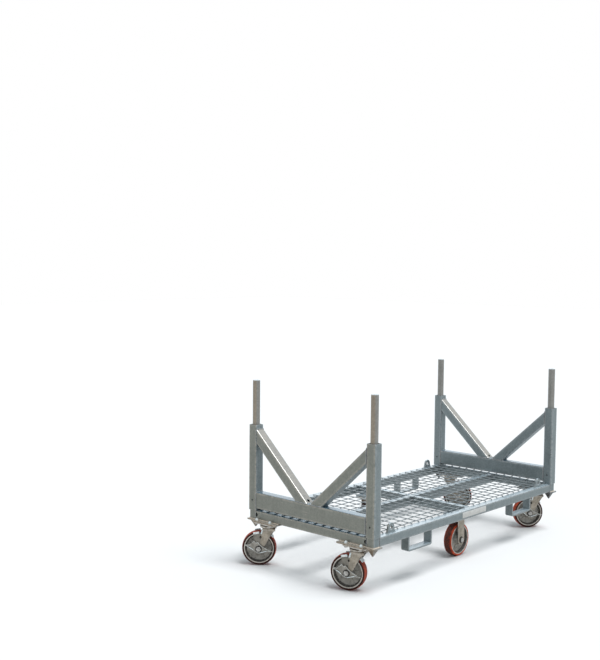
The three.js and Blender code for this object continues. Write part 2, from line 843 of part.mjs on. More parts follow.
for (const [end_name, end] of ends) {
  addMesh(cart, `${end_name}_end_rail`, endRail(end), galvanised);
  addMesh(cart, `${end_name}_mesh_panel`, meshPanel(end), galvanised);
  addMesh(cart, `${end_name}_bottom_rail`, bottomRail(end), galvanised);

  for (const [side_name, side] of sides) {
    const corner = `${end_name}_${side_name}`;
    addMesh(cart, `${corner}_corner_stub`, cornerStub(end, side), galvanised);
    addMesh(cart, `${corner}_fork_pocket`, forkPocket(end, side), galvanised);
    addMesh(cart, `${corner}_lifting_lug`, liftingLug(end, side), galvanised);
    addMesh(cart, `${corner}_post`, post(end, side), galvanised);
    addMesh(cart, `${corner}_brace`, brace(end, side), galvanised);
    addMesh(cart, `${corner}_stake`, stake(end, side), galvanised);

    const mount = new THREE.Group();
    mount.position.set(end * pivot_x, side * pivot_y, 0);
    addMesh(mount, `${corner}_caster_plate`, swivelPlate(), plated);
    const caster = new THREE.Group();
    caster.rotation.z = THREE.MathUtils.degToRad(caster_headings[corner]);
    addMesh(caster, `${corner}_swivel_fork`, swivelFork(), plated);
    addMesh(caster, `${corner}_brake_lever`, brakeLever(), plated);
    const wheel = new THREE.Group();
    wheel.position.set(trail, 0, axle_height);
    addMesh(wheel, `${corner}_wheel_core`, upright(wheelProfileCore()), iron);
    addMesh(wheel, `${corner}_tyre`, upright(wheelProfileTyre()), polyurethane);
    caster.add(wheel);
    mount.add(caster);
    cart.add(mount);
  }
}

export default cart;
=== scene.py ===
"""Looks of the long material cart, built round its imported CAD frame.

Metres, +Z up, X along the cart with the front end at -X, the right side at -Y. The origin is on
the floor, under the middle of the deck.
"""

import json
import logging
import math
from collections.abc import Callable, Sequence
from dataclasses import dataclass
from enum import Enum
from typing import ClassVar

import bpy
import numpy as np
from mathutils import Matrix, Vector


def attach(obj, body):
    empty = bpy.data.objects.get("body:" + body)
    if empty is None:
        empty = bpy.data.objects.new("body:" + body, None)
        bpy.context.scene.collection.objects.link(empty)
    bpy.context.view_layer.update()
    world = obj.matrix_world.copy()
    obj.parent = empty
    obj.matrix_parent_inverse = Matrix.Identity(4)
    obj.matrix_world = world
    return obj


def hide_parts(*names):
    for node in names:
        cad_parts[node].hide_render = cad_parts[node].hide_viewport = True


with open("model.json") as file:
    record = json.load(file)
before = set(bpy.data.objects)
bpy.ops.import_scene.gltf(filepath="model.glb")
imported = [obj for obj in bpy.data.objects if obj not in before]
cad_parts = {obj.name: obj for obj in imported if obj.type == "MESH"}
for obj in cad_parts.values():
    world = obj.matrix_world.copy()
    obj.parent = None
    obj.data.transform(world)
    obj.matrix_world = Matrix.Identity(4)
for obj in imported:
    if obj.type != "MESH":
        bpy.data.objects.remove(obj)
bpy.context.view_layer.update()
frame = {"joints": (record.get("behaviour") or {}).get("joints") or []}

log = logging.getLogger("cart")

Outline = np.ndarray
Grid = np.ndarray
Level = float | np.ndarray
Pair = tuple[float, float]
Point = tuple[float, float, float]
Colour = tuple[float, float, float]
Table = tuple[Pair, ...]
Skin = tuple[Grid, np.ndarray]
Cut = Callable[[Outline], Level]

X_AXIS: Point = (1.0, 0.0, 0.0)
Y_AXIS: Point = (0.0, 1.0, 0.0)
Z_AXIS: Point = (0.0, 0.0, 1.0)
MM = 0.001
TINY = 1e-12
SHARP_ANGLE = math.radians(32)
DRILL_EDGE = 0.1 * MM


# Places and names


class Sign(Enum):
    """A direction by its sign, written as the CAD nodes have it."""

    def __str__(self) -> str:
        """Its name in small letters."""
        return self.name.lower()


class End(Sign):
    """The cart's two ends, with the sign of their X."""

    FRONT = -1
    REAR = 1


class Side(Sign):
    """The cart's two sides, with the sign of their Y."""

    RIGHT = -1
    LEFT = 1


@dataclass(frozen=True)
class Corner:
    """One corner of the cart."""

    end: End
    side: Side

    def __str__(self) -> str:
        """The corner's name, as the CAD nodes have it."""
        return f"{self.end}_{self.side}"

    def mirror(self, grid: Grid) -> Grid:
        """Moves points from the rear left corner to this one.

        Args:
            grid: points whose last axis is X, Y, Z.

        Returns:
            The points with X and Y multiplied by the signs of the end and the side.
        """
        return grid * np.array([self.end.value, self.side.value, 1.0])


CORNERS = [Corner(end, side) for end in End for side in Side]


@dataclass(frozen=True)
class Place:
    """Where a piece's own axes lie: P = origin + x * across + y * up + z * along."""

    origin: Point = (0.0, 0.0, 0.0)
    across: Point = X_AXIS
    up: Point = Y_AXIS
    along: Point = Z_AXIS

    def __call__(self, grid: Grid) -> Grid:
        """Carries a grid from the piece's own axes into the cart's.

        Args:
            grid: points in the piece's own axes.

        Returns:
            origin plus each coordinate times its axis.
        """
        return np.asarray(self.origin) + grid @ np.array([self.across, self.up, self.along])


def lying_along_x(x: float, y: float, z: float) -> Place:
    """A place whose section lies in Y and Z."""
    return Place((x, y, z), Y_AXIS, Z_AXIS, X_AXIS)


def lying_along_y(x: float, y: float, z: float) -> Place:
    """A place whose section lies in X and Z."""
    return Place((x, y, z), X_AXIS, Z_AXIS, Y_AXIS)


def standing(x: float, y: float, z: float) -> Place:
    """A place whose section lies in X and Y."""
    return Place((x, y, z))


# Outlines


def soften(
    corners: Sequence[Sequence[float]],
    radius: float | Sequence[float],
    steps: int = 4,
    margin: float = 0.0,
) -> Outline:
    """Rounds the corners of a closed outline.

    Each corner C becomes the curve (1-t)^2 P + 2t(1-t) C + t^2 Q, where P and Q lie one radius
    before and after C on its two edges. With a margin, one more point lies that far beyond each.

    Args:
        corners: the outline's corners, in order.
        radius: how far from each corner its curve starts, one for all or one for each.
        steps: steps along each curve.
        margin: distance of the extra points, or 0 for none.

    Returns:
        The outline's points, n by 2.
    """
    middle = np.asarray(corners, float)
    reach = np.broadcast_to(np.asarray(radius, float), (len(middle),))[:, None]
    after = np.roll(middle, -1, 0) - middle
    after /= np.linalg.norm(after, axis=1, keepdims=True)
    before = -np.roll(after, 1, 0)
    t = np.linspace(0, 1, steps + 1)[None, :, None]
    first = (middle + before * reach)[:, None]
    last = (middle + after * reach)[:, None]
    curve = (1 - t) ** 2 * first + 2 * t * (1 - t) * middle[:, None] + t**2 * last
    if margin:
        lead = (middle + before * (reach + margin))[:, None]
        tail = (middle + after * (reach + margin))[:, None]
        curve = np.concatenate([lead, curve, tail], 1)
    return curve.reshape(-1, 2)


def oblong(
    width: float, height: float, radius: float, steps: int = 4, margin: float = 0.0
) -> Outline:
    """A rectangle with round corners, centred on its place."""
    x, y = width / 2, height / 2
    return soften([(-x, -y), (x, -y), (x, y), (-x, y)], radius, steps, margin)


def ring(radius: float, count: int, start: float = 0.0) -> Outline:
    """A circle: P = radius * (cos a, sin a) for count equal steps of a, from start in turns."""
    angle = (np.arange(count) / count + start) * 2 * np.pi
    return radius * np.stack([np.cos(angle), np.sin(angle)], 1)


def arc(centre: Pair, radius: float, start: float, stop: float, steps: int) -> Outline:
    """Points on a circle from one angle to another, angles in turns."""
    angle = np.linspace(start, stop, steps + 1) * 2 * np.pi
    return np.asarray(centre) + radius * np.stack([np.cos(angle), np.sin(angle)], 1)


def inset(outline: Outline, distance: float) -> Outline:
    """Draws an outline in, each point along the normal of the line through its neighbours.

    Args:
        outline: a closed outline, either way round.
        distance: how far in, or out where it is negative.

    Returns:
        The moved points.
    """
    ahead = np.roll(outline, -1, 0) - np.roll(outline, 1, 0)
    ahead /= np.maximum(np.linalg.norm(ahead, axis=1, keepdims=True), TINY)
    x, y = outline.T
    sense = np.sign(np.sum(x * np.roll(y, -1) - np.roll(x, -1) * y))
    return outline + sense * distance * np.stack([-ahead[:, 1], ahead[:, 0]], 1)


def run_of(path: np.ndarray) -> np.ndarray:
    """The way gone at each point of a path."""
    return np.concatenate([[0], np.cumsum(np.linalg.norm(np.diff(path, axis=0), axis=1))])


def respaced(path: np.ndarray, count: int, closed: bool = True) -> np.ndarray:
    """Equal steps along a path or round an outline, by linear interpolation on its length."""
    track = np.vstack([path, path[:1]]) if closed else path
    run = run_of(track)
    at = np.linspace(0, run[-1], count, endpoint=not closed)
    return np.stack([np.interp(at, run, column) for column in track.T], 1)


def stepped(path: Grid, step: float, closed: bool) -> Grid:
    """A path in equal steps of about one length, at least four."""
    track = np.vstack([path, path[:1]]) if closed else path
    return respaced(path, max(4, int(run_of(track)[-1] / step)), closed)


def hole_in(outline: Outline, centre: Pair, radius: float) -> Outline:
    """A round hole with one point in the direction of each point of the outline round it."""
    away = outline - np.asarray(centre)
    return np.asarray(centre) + radius * away / np.linalg.norm(away, axis=1, keepdims=True)


# Surfaces


def rows(*sections: tuple[Outline, Level]) -> Grid:
    """Stacks outlines at their heights: P(i, j) = (x_ij, y_ij, h_i), where h_i may vary with j."""
    return np.stack([
        np.column_stack([outline, np.broadcast_to(level, len(outline))])
        for outline, level in sections
    ])


def level_path(outline: Outline, level: Level) -> Grid:
    """A path round an outline, at one height or at a height for each point."""
    return rows((outline, level))[0]


def slab(
    outline: Outline, low: float, high: float, edge: float, hole: Outline | None = None
) -> Grid:
    """The skin of a plate with quarter-round edges.

    With a from 0 to a quarter turn, the lower edge is the outline drawn in by edge * (1 - sin a)
    at low + edge * (1 - cos a), and the upper edge is its mirror. A hole adds two rows.

    Args:
        outline: the plate's outline.
        low: its lower face's height.
        high: its upper face's height.
        edge: the radius of its edges.
        hole: a hole with as many points as the outline, if it has one.

    Returns:
        Rows from the lower face to the upper, and down the hole where there is one.
    """
    quarter = np.linspace(0, np.pi / 2, 4)
    sections = [
        (inset(outline, edge * (1 - np.sin(a))), low + edge * (1 - np.cos(a))) for a in quarter
    ]
    sections += [
        (inset(outline, edge * (1 - np.cos(a))), high - edge * (1 - np.sin(a))) for a in quarter
    ]
    if hole is None:
        return rows(*sections)
    lip = edge / 2
    return rows(
        *sections,
        (inset(hole, -lip), high),
        (hole, high - lip),
        (hole, low + lip),
        (inset(hole, -lip), low),
    )


def revolved(profile: Outline, count: int) -> Grid:
    """Turns a closed profile of radius r and height h: P = (r cos a, r sin a, h)."""
    angle = np.arange(count) / count * 2 * np.pi
    r, h = profile[:, :1], profile[:, 1:]
    return np.stack([r * np.cos(angle), r * np.sin(angle), np.broadcast_to(h, (len(r), count))], 2)


def swept(outline: Outline, path: Grid, up: Sequence[float], closed: bool = False) -> Grid:
    """Carries an outline along a path.

    P(i, j) = path_i + x_j * (tangent_i x up) + y_j * up', where the tangent comes from the
    neighbouring points and up' is square to it.

    Args:
        outline: the section, n by 2, or m by n by 2 where it changes along the path.
        path: the path's points, m by 3.
        up: a direction that the path never runs along.
        closed: whether the path comes back to its start.

    Returns:
        Points, m by n by 3.
    """
    if closed:
        tangent = np.roll(path, -1, 0) - np.roll(path, 1, 0)
    else:
        tangent = np.gradient(path, axis=0)
    tangent /= np.maximum(np.linalg.norm(tangent, axis=1, keepdims=True), TINY)
    side = np.cross(tangent, np.asarray(up, float))
    side /= np.maximum(np.linalg.norm(side, axis=1, keepdims=True), TINY)
    lift = np.cross(side, tangent)
    steady = outline.ndim == 2
    section = np.broadcast_to(outline, (len(path), *outline.shape)) if steady else outline
    return path[:, None] + section[..., :1] * side[:, None] + section[..., 1:] * lift[:, None]


def rod(radius: float, count: int, low: float, high: float, edge: float = DRILL_EDGE) -> Grid:
    """A round rod from one height to another."""
    return slab(ring(radius, count), low, high, edge)


def span(sign: int, near: float, far: float) -> list[float]:
    """Two heights on the side of a sign, in rising order."""
    return sorted((sign * near, sign * far))


class Shell:
    """Collects closed surfaces into one mesh, with a wear value on each point."""

    def __init__(self, name: str) -> None:
        """Starts an empty shell under the name that its object will have."""
        self.name = name
        self.points: list[np.ndarray] = []
        self.wear: list[np.ndarray] = []
        self.faces: list[list[int]] = []
        self.count = 0

    def add(
        self,
        grid: Grid,
        close_rows: bool = False,
        wear: np.ndarray | float = 0.0,
    ) -> "Shell":
        """Adds a surface whose columns close on themselves.

        Quad (i, j) joins points (i, j), (i, j+1), (i+1, j+1), (i+1, j). Rows that don't close
        get a face over the first and the last. Faces are turned round where the volume, the sum
        of a . (b x c) / 6 over triangles, comes out negative.

        Args:
            grid: points, m by n by 3.
            close_rows: whether the last row joins the first.
            wear: how worn each point is, one value, one for each row or one for each point.

        Returns:
            The shell, for more calls.
        """
        m, n = grid.shape[:2]
        index = np.arange(m * n).reshape(m, n)
        below = index if close_rows else index[:-1]
        above = np.roll(index, -1, 0) if close_rows else index[1:]
        quads = np.stack([below, np.roll(below, -1, 1), np.roll(above, -1, 1), above], 2)
        quads = quads.reshape(-1, 4)
        flat = grid.reshape(-1, 3)
        caps = [] if close_rows else [index[0][::-1], index[-1]]
        a, b, c, d = (flat[quads[:, k]] - flat.mean(0) for k in range(4))
        volume = np.sum(a * np.cross(b, c)) + np.sum(a * np.cross(c, d))
        for cap in caps:
            fan = flat[cap] - flat.mean(0)
            centre = np.broadcast_to(fan.mean(0), fan.shape)
            volume += np.sum(centre * np.cross(fan, np.roll(fan, -1, 0)))
        if volume < 0:
            quads = quads[:, ::-1]
            caps = [cap[::-1] for cap in caps]
        self.faces += (quads + self.count).tolist()
        self.faces += [(cap + self.count).tolist() for cap in caps]
        shade = np.asarray(wear, float)
        shade = shade[:, None] if shade.ndim == 1 else shade
        self.points.append(flat)
        self.wear.append(np.broadcast_to(shade, (m, n)).reshape(-1))
        self.count += m * n
        return self

    def build(self) -> bpy.types.Object:
        """Makes the mesh object, smooth except at sharp edges.

        Returns:
            The object, linked to the scene at the origin.
        """
        mesh = bpy.data.meshes.new(self.name)
        mesh.from_pydata(np.concatenate(self.points).tolist(), [], self.faces)
        mesh.update()
        wear = mesh.attributes.new("wear", "FLOAT", "POINT")
        wear.data.foreach_set("value", np.concatenate(self.wear).astype(np.float32))
        mesh.shade_smooth()
        mesh.set_sharp_from_angle(angle=SHARP_ANGLE)
        piece = bpy.data.objects.new(self.name, mesh)
        bpy.context.scene.collection.objects.link(piece)
        return piece


def drill(piece: bpy.types.Object, *rods: Grid) -> bpy.types.Object:
    """Cuts closed rods out of a piece and keeps the result in its mesh.

    Args:
        piece: the piece to cut.
        rods: closed surfaces, such as slab gives.

    Returns:
        The same piece.
    """
    tools = Shell(f"{piece.name}_tools")
    for surface in rods:
        tools.add(surface)
    cutter = tools.build()
    modifier = piece.modifiers.new("drill", "BOOLEAN")
    modifier.operation = "DIFFERENCE"
    modifier.solver = "EXACT"
    modifier.object = cutter
    graph = bpy.context.evaluated_depsgraph_get()
    cut = bpy.data.meshes.new_from_object(piece.evaluated_get(graph))
    piece.modifiers.clear()
    piece.data = cut
    bpy.data.objects.remove(cutter)
    piece.data.set_sharp_from_angle(angle=SHARP_ANGLE)
    return piece


# Shader arithmetic


class Value:
    """A number socket that takes part in Python arithmetic. Each operator adds a Math node."""

    def __init__(self, shader: "Shader", socket: bpy.types.NodeSocket) -> None:
        """Wraps an output socket of a shader."""
        self.shader = shader
        self.socket = socket

    def math(self, operation: str, *others: "Value | float", clamp: bool = False) -> "Value":
        """Adds a Math node.

        Args:
            operation: the node's operation.
            others: its further values.
            clamp: whether the result is kept between 0 and 1.

        Returns:
            The node's output.
        """
        settings = {"operation": operation, "use_clamp": clamp}
        node = self.shader.node("ShaderNodeMath", settings, dict(enumerate((self, *others))))
        return Value(self.shader, node.outputs[0])

    def __add__(self, other: "Value | float") -> "Value":
        """self + other."""
        return self.math("ADD", other)

    __radd__ = __add__

    def __sub__(self, other: "Value | float") -> "Value":
        """self - other."""
        return self.math("SUBTRACT", other)

    def __rsub__(self, other: float) -> "Value":
        """other - self."""
        settings = {"operation": "SUBTRACT"}
        node = self.shader.node("ShaderNodeMath", settings, {0: other, 1: self})
        return Value(self.shader, node.outputs[0])

    def __mul__(self, other: "Value | float") -> "Value":
        """self * other."""
        return self.math("MULTIPLY", other)

    __rmul__ = __mul__

    def clamp(self) -> "Value":
        """Keeps the value between 0 and 1."""
        return self.math("ADD", 0.0, clamp=True)

    def between(self, low: float, high: float) -> "Value":
        """A smooth step from 0 at low to 1 at high."""
        node = self.shader.node(
            "ShaderNodeMapRange",
            {"interpolation_type": "SMOOTHSTEP"},
            {"Value": self, "From Min": low, "From Max": high},
        )
        return Value(self.shader, node.outputs["Result"])


def grey(level: float, warmth: float = 0.0) -> Colour:
    """A grey that is a little warm, or cool where warmth is negative."""
    return (level * (1 + warmth), level, level * (1 - warmth))


class Shader:
    """A material under construction."""

    def __init__(self, name: str) -> None:
        """Starts a material with a Principled BSDF."""
        self.material = bpy.data.materials.new(name)
        self.material.use_nodes = True
        self.tree = self.material.node_tree
        self.tree.nodes.clear()
        self.surface = self.node("ShaderNodeBsdfPrincipled")
        self.node("ShaderNodeOutputMaterial", None, {"Surface": self.surface.outputs[0]})

    def node(
        self,
        kind: str,
        settings: dict[str, object] | None = None,
        inputs: dict[int | str, object] | None = None,
    ) -> bpy.types.Node:
        """Adds a node, sets it up and links it.

        Args:
            kind: the node's type.
            settings: its properties, set before its sockets.
            inputs: values, wrapped sockets or sockets, by input name or number.

        Returns:
            The node.
        """
        node = self.tree.nodes.new(kind)
        for key, value in (settings or {}).items():
            setattr(node, key, value)
        for key, value in (inputs or {}).items():
            self.feed(node.inputs[key], value)
        return node

    def feed(self, socket: bpy.types.NodeSocket, value: object) -> None:
        """Links a socket to a source, or sets its value."""
        source = value.socket if isinstance(value, Value) else value
        if isinstance(source, bpy.types.NodeSocket):
            self.tree.links.new(source, socket)
        elif isinstance(source, tuple) and len(source) == 3 and socket.type == "RGBA":
            socket.default_value = (*source, 1.0)
        else:
            socket.default_value = source

    def places(self, scale: Point = (1.0, 1.0, 1.0)) -> bpy.types.NodeSocket:
        """Object coordinates, stretched by a scale."""
        inputs = {0: self.node("ShaderNodeTexCoord").outputs["Object"], 1: scale}
        return self.node("ShaderNodeVectorMath", {"operation": "MULTIPLY"}, inputs).outputs[0]

    def attribute(self, name: str) -> Value:
        """A number kept on the piece's points."""
        node = self.node("ShaderNodeAttribute", {"attribute_name": name})
        return Value(self, node.outputs["Fac"])

    def noise(
        self,
        scale: float,
        detail: float,
        stretch: Point = (1.0, 1.0, 1.0),
        rough: float = 0.55,
    ) -> Value:
        """Cloudy noise over object coordinates, about 0.5 in the middle."""
        inputs = {"Vector": self.places(stretch), "Scale": scale}
        inputs |= {"Detail": detail, "Roughness": rough}
        return Value(self, self.node("ShaderNodeTexNoise", None, inputs).outputs["Fac"])

    def crystals(self, size: float, warp: float) -> tuple[Value, Value]:
        """Random crystal grains, their borders bent by noise.

        Args:
            size: the grains' size.
            warp: how far noise moves the pattern.

        Returns:
            A random number for each grain, and the distance from its middle.
        """
        inputs = {"Vector": self.places(), "Scale": 0.7 / size, "Detail": 3.0}
        cloud = self.node("ShaderNodeTexNoise", None, inputs)
        inputs = {0: cloud.outputs["Color"], 1: (warp, warp, warp), 2: self.places()}
        bend = self.node("ShaderNodeVectorMath", {"operation": "MULTIPLY_ADD"}, inputs)
        inputs = {"Vector": bend.outputs[0], "Scale": 1.0 / size}
        cells = self.node("ShaderNodeTexVoronoi", None, inputs)
        split = self.node("ShaderNodeSeparateColor", None, {"Color": cells.outputs["Color"]})
        return Value(self, split.outputs[0]), Value(self, cells.outputs["Distance"])

    def facing(self, axis: int) -> Value:
        """How far the surface faces along +X, +Y or +Z, by its true normal."""
        normal = self.node("ShaderNodeNewGeometry").outputs["True Normal"]
        split = self.node("ShaderNodeSeparateXYZ", None, {0: normal})
        return Value(self, split.outputs[axis])

    def along(self, axis: int) -> Value:
        """The place along X, Y or Z at rest."""
        split = self.node("ShaderNodeSeparateXYZ", None, {0: self.places()})
        return Value(self, split.outputs[axis])

    def mix(
        self, amount: Value, first: object, second: object, blend: str = "MIX"
    ) -> bpy.types.NodeSocket:
        """Mixes two colours.

        Args:
            amount: 0 for the first, 1 for the second.
            first: a colour or a socket.
            second: a colour or a socket.
            blend: the way of mixing.

        Returns:
            The colour socket.
        """
        settings = {"data_type": "RGBA", "blend_type": blend, "clamp_factor": True}
        node = self.node("ShaderNodeMix", settings, {0: amount, 6: first, 7: second})
        return node.outputs[2]

    def bump(self, height: Value, strength: float, distance: float) -> bpy.types.NodeSocket:
        """A normal from a height pattern."""
        inputs = {"Height": height, "Strength": strength, "Distance": distance}
        return self.node("ShaderNodeBump", None, inputs).outputs[0]

    def finish(self, inputs: dict[str, object]) -> bpy.types.Material:
        """Sets the surface's sockets and gives the material."""
        for key, value in inputs.items():
            self.feed(self.surface.inputs[key], value)
        return self.material


# Finishes


@dataclass(frozen=True)
class Galvanised:
    """Hot-dip zinc: crystal grains, dull clouds, runs, scuffs and a painted highlight on tops."""

    slot: ClassVar[str] = "galvanised_steel"
    name: str = "hot_dip_zinc"
    colour: Colour = (0.168, 0.202, 0.213)
    pale: Colour = (0.319, 0.375, 0.394)
    dark: Colour = (0.078, 0.092, 0.096)
    # Painted highlight: the pale, sky-tinted colour that top faces are mixed towards.
    rubbed: Colour = (0.610, 0.745, 0.830)
    # Painted warm light: multiplied into faces towards -X near the front end.
    earthy: Colour = (1.120, 0.960, 0.800)
    grain: float = 0.009
    metallic: float = 0.55
    roughness: float = 0.42
    # Faces whose normal points up between these two values get the painted highlight.
    top_from: float = 0.80
    top_to: float = 0.97

    def material(self) -> bpy.types.Material:
        """Builds the material.

        The colour is the base, mixed with pale and dark by random grains, by clouds and by runs
        stretched along Z, then scratched, and lightened where the wear value is high. Top faces get
        a painted highlight, and faces towards the front end get painted warm light near that end.
        """
        shader = Shader(self.name)
        grain, distance = shader.crystals(self.grain, 0.004)
        fine, _ = shader.crystals(self.grain * 0.4, 0.002)
        clouds = shader.noise(9.0, 5.0)
        runs = shader.noise(46.0, 3.0, (1.0, 1.0, 0.09))
        specks = shader.noise(420.0, 2.0)
        scratch = shader.noise(260.0, 2.0, (0.04, 1.0, 1.0)).between(0.66, 0.72)
        other = shader.noise(240.0, 2.0, (1.0, 0.05, 0.7)).between(0.67, 0.73)
        scuffs = (scratch + other).clamp() * clouds.between(0.42, 0.62)
        wear = shader.attribute("wear") * shader.noise(60.0, 3.0).between(0.3, 0.62)
        # Up-facing faces, for the painted highlight.
        top = shader.facing(2).between(self.top_from, self.top_to)
        # Faces towards -X near the front end, for painted warm light.
        warm_light_mask = shader.facing(0).between(-0.5, -0.9) * shader.along(0).between(-0.60, -0.88)
        light = (grain * 0.28 + fine * 0.14 + (clouds - 0.5) * 0.6 + (runs - 0.5) * 0.4).clamp()
        tone = shader.mix(light, self.colour, self.pale)
        tone = shader.mix(clouds.between(0.56, 0.80) * 0.25, tone, self.dark)
        tone = shader.mix(specks.between(0.60, 0.72) * 0.30, tone, self.dark)
        tone = shader.mix(scuffs * 0.30, tone, grey(0.50, -0.03))
        tone = shader.mix(wear * 0.34, tone, grey(0.56, -0.03))
        # Painted warm light on the front end's faces.
        tone = shader.mix(warm_light_mask * 0.9, tone, self.earthy, "MULTIPLY")
        # Painted highlight on top faces, mottled by grain and specks.
        highlight_amount = top * (0.65 + light * 0.8 - specks.between(0.56, 0.70) * 0.3)
        tone = shader.mix(highlight_amount, tone, self.rubbed)
        rough = self.roughness + (grain - 0.5) * 0.14 + (clouds - 0.5) * 0.3
        rough = rough - wear * 0.1 - top * 0.08
        relief = distance * 0.3 + runs * 0.5 + specks * 0.25
        return shader.finish({
            "Base Color": tone,
            "Metallic": self.metallic,
            "Roughness": rough.clamp(),
            "Coat Weight": top * 0.9,
            "Coat Roughness": 0.22,
            "Normal": shader.bump(relief, 0.16, 0.0012),
        })


@dataclass(frozen=True)
class Plated:
    """Zinc plate on pressed steel: brushed, a little warm, darker towards the floor."""

    slot: ClassVar[str] = "plated_steel"
    name: str = "zinc_plate"
    colour: Colour = (0.215, 0.188, 0.150)
    pale: Colour = (0.430, 0.380, 0.310)
    stain: Colour = (0.070, 0.060, 0.048)
    edge: Colour = (0.700, 0.690, 0.670)
    metallic: float = 0.7
    roughness: float = 0.36

    def material(self) -> bpy.types.Material:
        """Builds the material: clouds between colour and pale, stains in spots, bright edges."""
        shader = Shader(self.name)
        clouds = shader.noise(32.0, 5.0)
        brush = shader.noise(300.0, 2.0, (1.0, 1.0, 0.08))
        spots = shader.noise(130.0, 4.0).between(0.57, 0.70)
        # Darker towards the floor.
        low = shader.along(2).between(0.19, 0.03)
        wear = shader.attribute("wear") * shader.noise(90.0, 3.0).between(0.3, 0.6)
        light = (clouds.between(0.35, 0.68) * 0.8 + (brush - 0.5) * 0.5).clamp()
        tone = shader.mix(light, self.colour, self.pale)
        tone = shader.mix(spots * (0.35 + low * 0.4), tone, self.stain)
        tone = shader.mix(low * clouds.between(0.4, 0.62) * 0.35, tone, self.stain)
        # Pale edges: worn edges, and on the lever's flange a painted highlight.
        tone = shader.mix(wear * 0.6, tone, self.edge)
        rough = self.roughness + (clouds - 0.5) * 0.35 + spots * 0.25 - wear * 0.1
        return shader.finish({
            "Base Color": tone,
            "Metallic": self.metallic,
            "Roughness": rough.clamp(),
            "Normal": shader.bump(brush * 0.4 + clouds + spots * 0.3, 0.12, 0.0010),
        })


@dataclass(frozen=True)
class Bright:
    """Near-white zinc that paints highlights on bent tabs, and a duller one on nuts and bolts."""

    slot: ClassVar[str] = "plated_steel"
    name: str = "bright_zinc"
    colour: Colour = (0.740, 0.840, 0.890)
    pale: Colour = (0.930, 0.970, 0.980)
    dark: Colour = (0.140, 0.140, 0.135)
    metallic: float = 0.2
    roughness: float = 0.28

    def material(self) -> bpy.types.Material:
        """Builds the material: a near even bright tone with stains in spots."""
        shader = Shader(self.name)
        clouds = shader.noise(90.0, 4.0)
        spots = shader.noise(240.0, 3.0).between(0.60, 0.72)
        tone = shader.mix(clouds.between(0.3, 0.7), self.colour, self.pale)
        tone = shader.mix(spots * 0.5, tone, self.dark)
        return shader.finish({
            "Base Color": tone,
            "Metallic": self.metallic,
            "Roughness": (self.roughness + (clouds - 0.5) * 0.3 + spots * 0.2).clamp(),
            "Normal": shader.bump(clouds + spots * 0.4, 0.1, 0.0008),
        })


@dataclass(frozen=True)
class CastIron:
    """Cast iron of the wheels: a grainy web with a turned rim and hub."""

    slot: ClassVar[str] = "cast_iron"
    name: str = "grey_casting"
    colour: Colour = (0.300, 0.290, 0.268)
    pale: Colour = (0.475, 0.458, 0.425)
    # Dark: dirt, and the painted shade in the rim's recess.
    dark: Colour = (0.046, 0.042, 0.038)
    turned: Colour = (0.600, 0.565, 0.510)

    def material(self) -> bpy.types.Material:
        """Builds the material: grain by noise, by the wear value.

        Wear 0 marks the rim's recess, painted dark as shade, 1 turned metal, and 0.3 the rest.
        """
        shader = Shader(self.name)
        grain = shader.noise(380.0, 4.0, rough=0.7)
        clouds = shader.noise(42.0, 4.0)
        turned = shader.attribute("wear").between(0.35, 0.65)
        dirt = shader.noise(75.0, 5.0).between(0.50, 0.68)
        # Painted shade: the recess at the rim is darkened.
        recess = shader.attribute("wear").between(0.28, 0.08)
        light = (clouds.between(0.35, 0.65) * 0.7 + (grain - 0.5) * 0.7).clamp()
        tone = shader.mix(light, self.colour, self.pale)
        metal = shader.mix(clouds.between(0.3, 0.7) * 0.5, self.turned, grey(0.32, 0.03))
        tone = shader.mix(turned, tone, metal)
        tone = shader.mix((dirt * 0.35 + recess * 0.8).clamp(), tone, self.dark)
        return shader.finish({
            "Base Color": tone,
            "Metallic": 0.30 + turned * 0.35,
            "Roughness": (0.62 - turned * 0.26 + dirt * 0.15).clamp(),
            "Normal": shader.bump(grain + clouds * 0.5, 0.28, 0.0012),
        })


@dataclass(frozen=True)
class Polyurethane:
    """The cast red tread: dusty where it runs, orange-red at its shoulders, dark at its sides."""

    slot: ClassVar[str] = "red_polyurethane"
    name: str = "red_tread"
    colour: Colour = (0.340, 0.040, 0.016)
    fresh: Colour = (0.760, 0.105, 0.034)
    dirt: Colour = (0.040, 0.026, 0.023)
    side: Colour = (0.045, 0.014, 0.011)
    roughness: float = 0.44

    def material(self) -> bpy.types.Material:
        """Builds the material: fresh by clouds, dirt in specks where the wear value is up to 1.

        A wear value of 2 marks the side walls.
        """
        shader = Shader(self.name)
        clouds = shader.noise(38.0, 5.0)
        specks = shader.noise(170.0, 4.0, rough=0.75)
        worn = shader.attribute("wear")
        wall = worn.between(1.2, 1.7)
        dusty = (worn * (0.72 + clouds * 0.6)).clamp()
        tone = shader.mix(clouds.between(0.35, 0.65), self.colour, self.fresh)
        tone = shader.mix(dusty * (0.62 + specks.between(0.43, 0.53) * 0.38), tone, self.dirt)
        tone = shader.mix(specks.between(0.62, 0.72) * 0.5, tone, self.dirt)
        tone = shader.mix(wall * (0.78 + clouds * 0.4), tone, self.side)
        return shader.finish({
            "Base Color": tone,
            "Roughness": (self.roughness + dusty * 0.25 + (clouds - 0.5) * 0.2).clamp(),
            "Specular IOR Level": 0.22,
            "Normal": shader.bump(specks + clouds * 0.6, 0.22, 0.0012),
        })


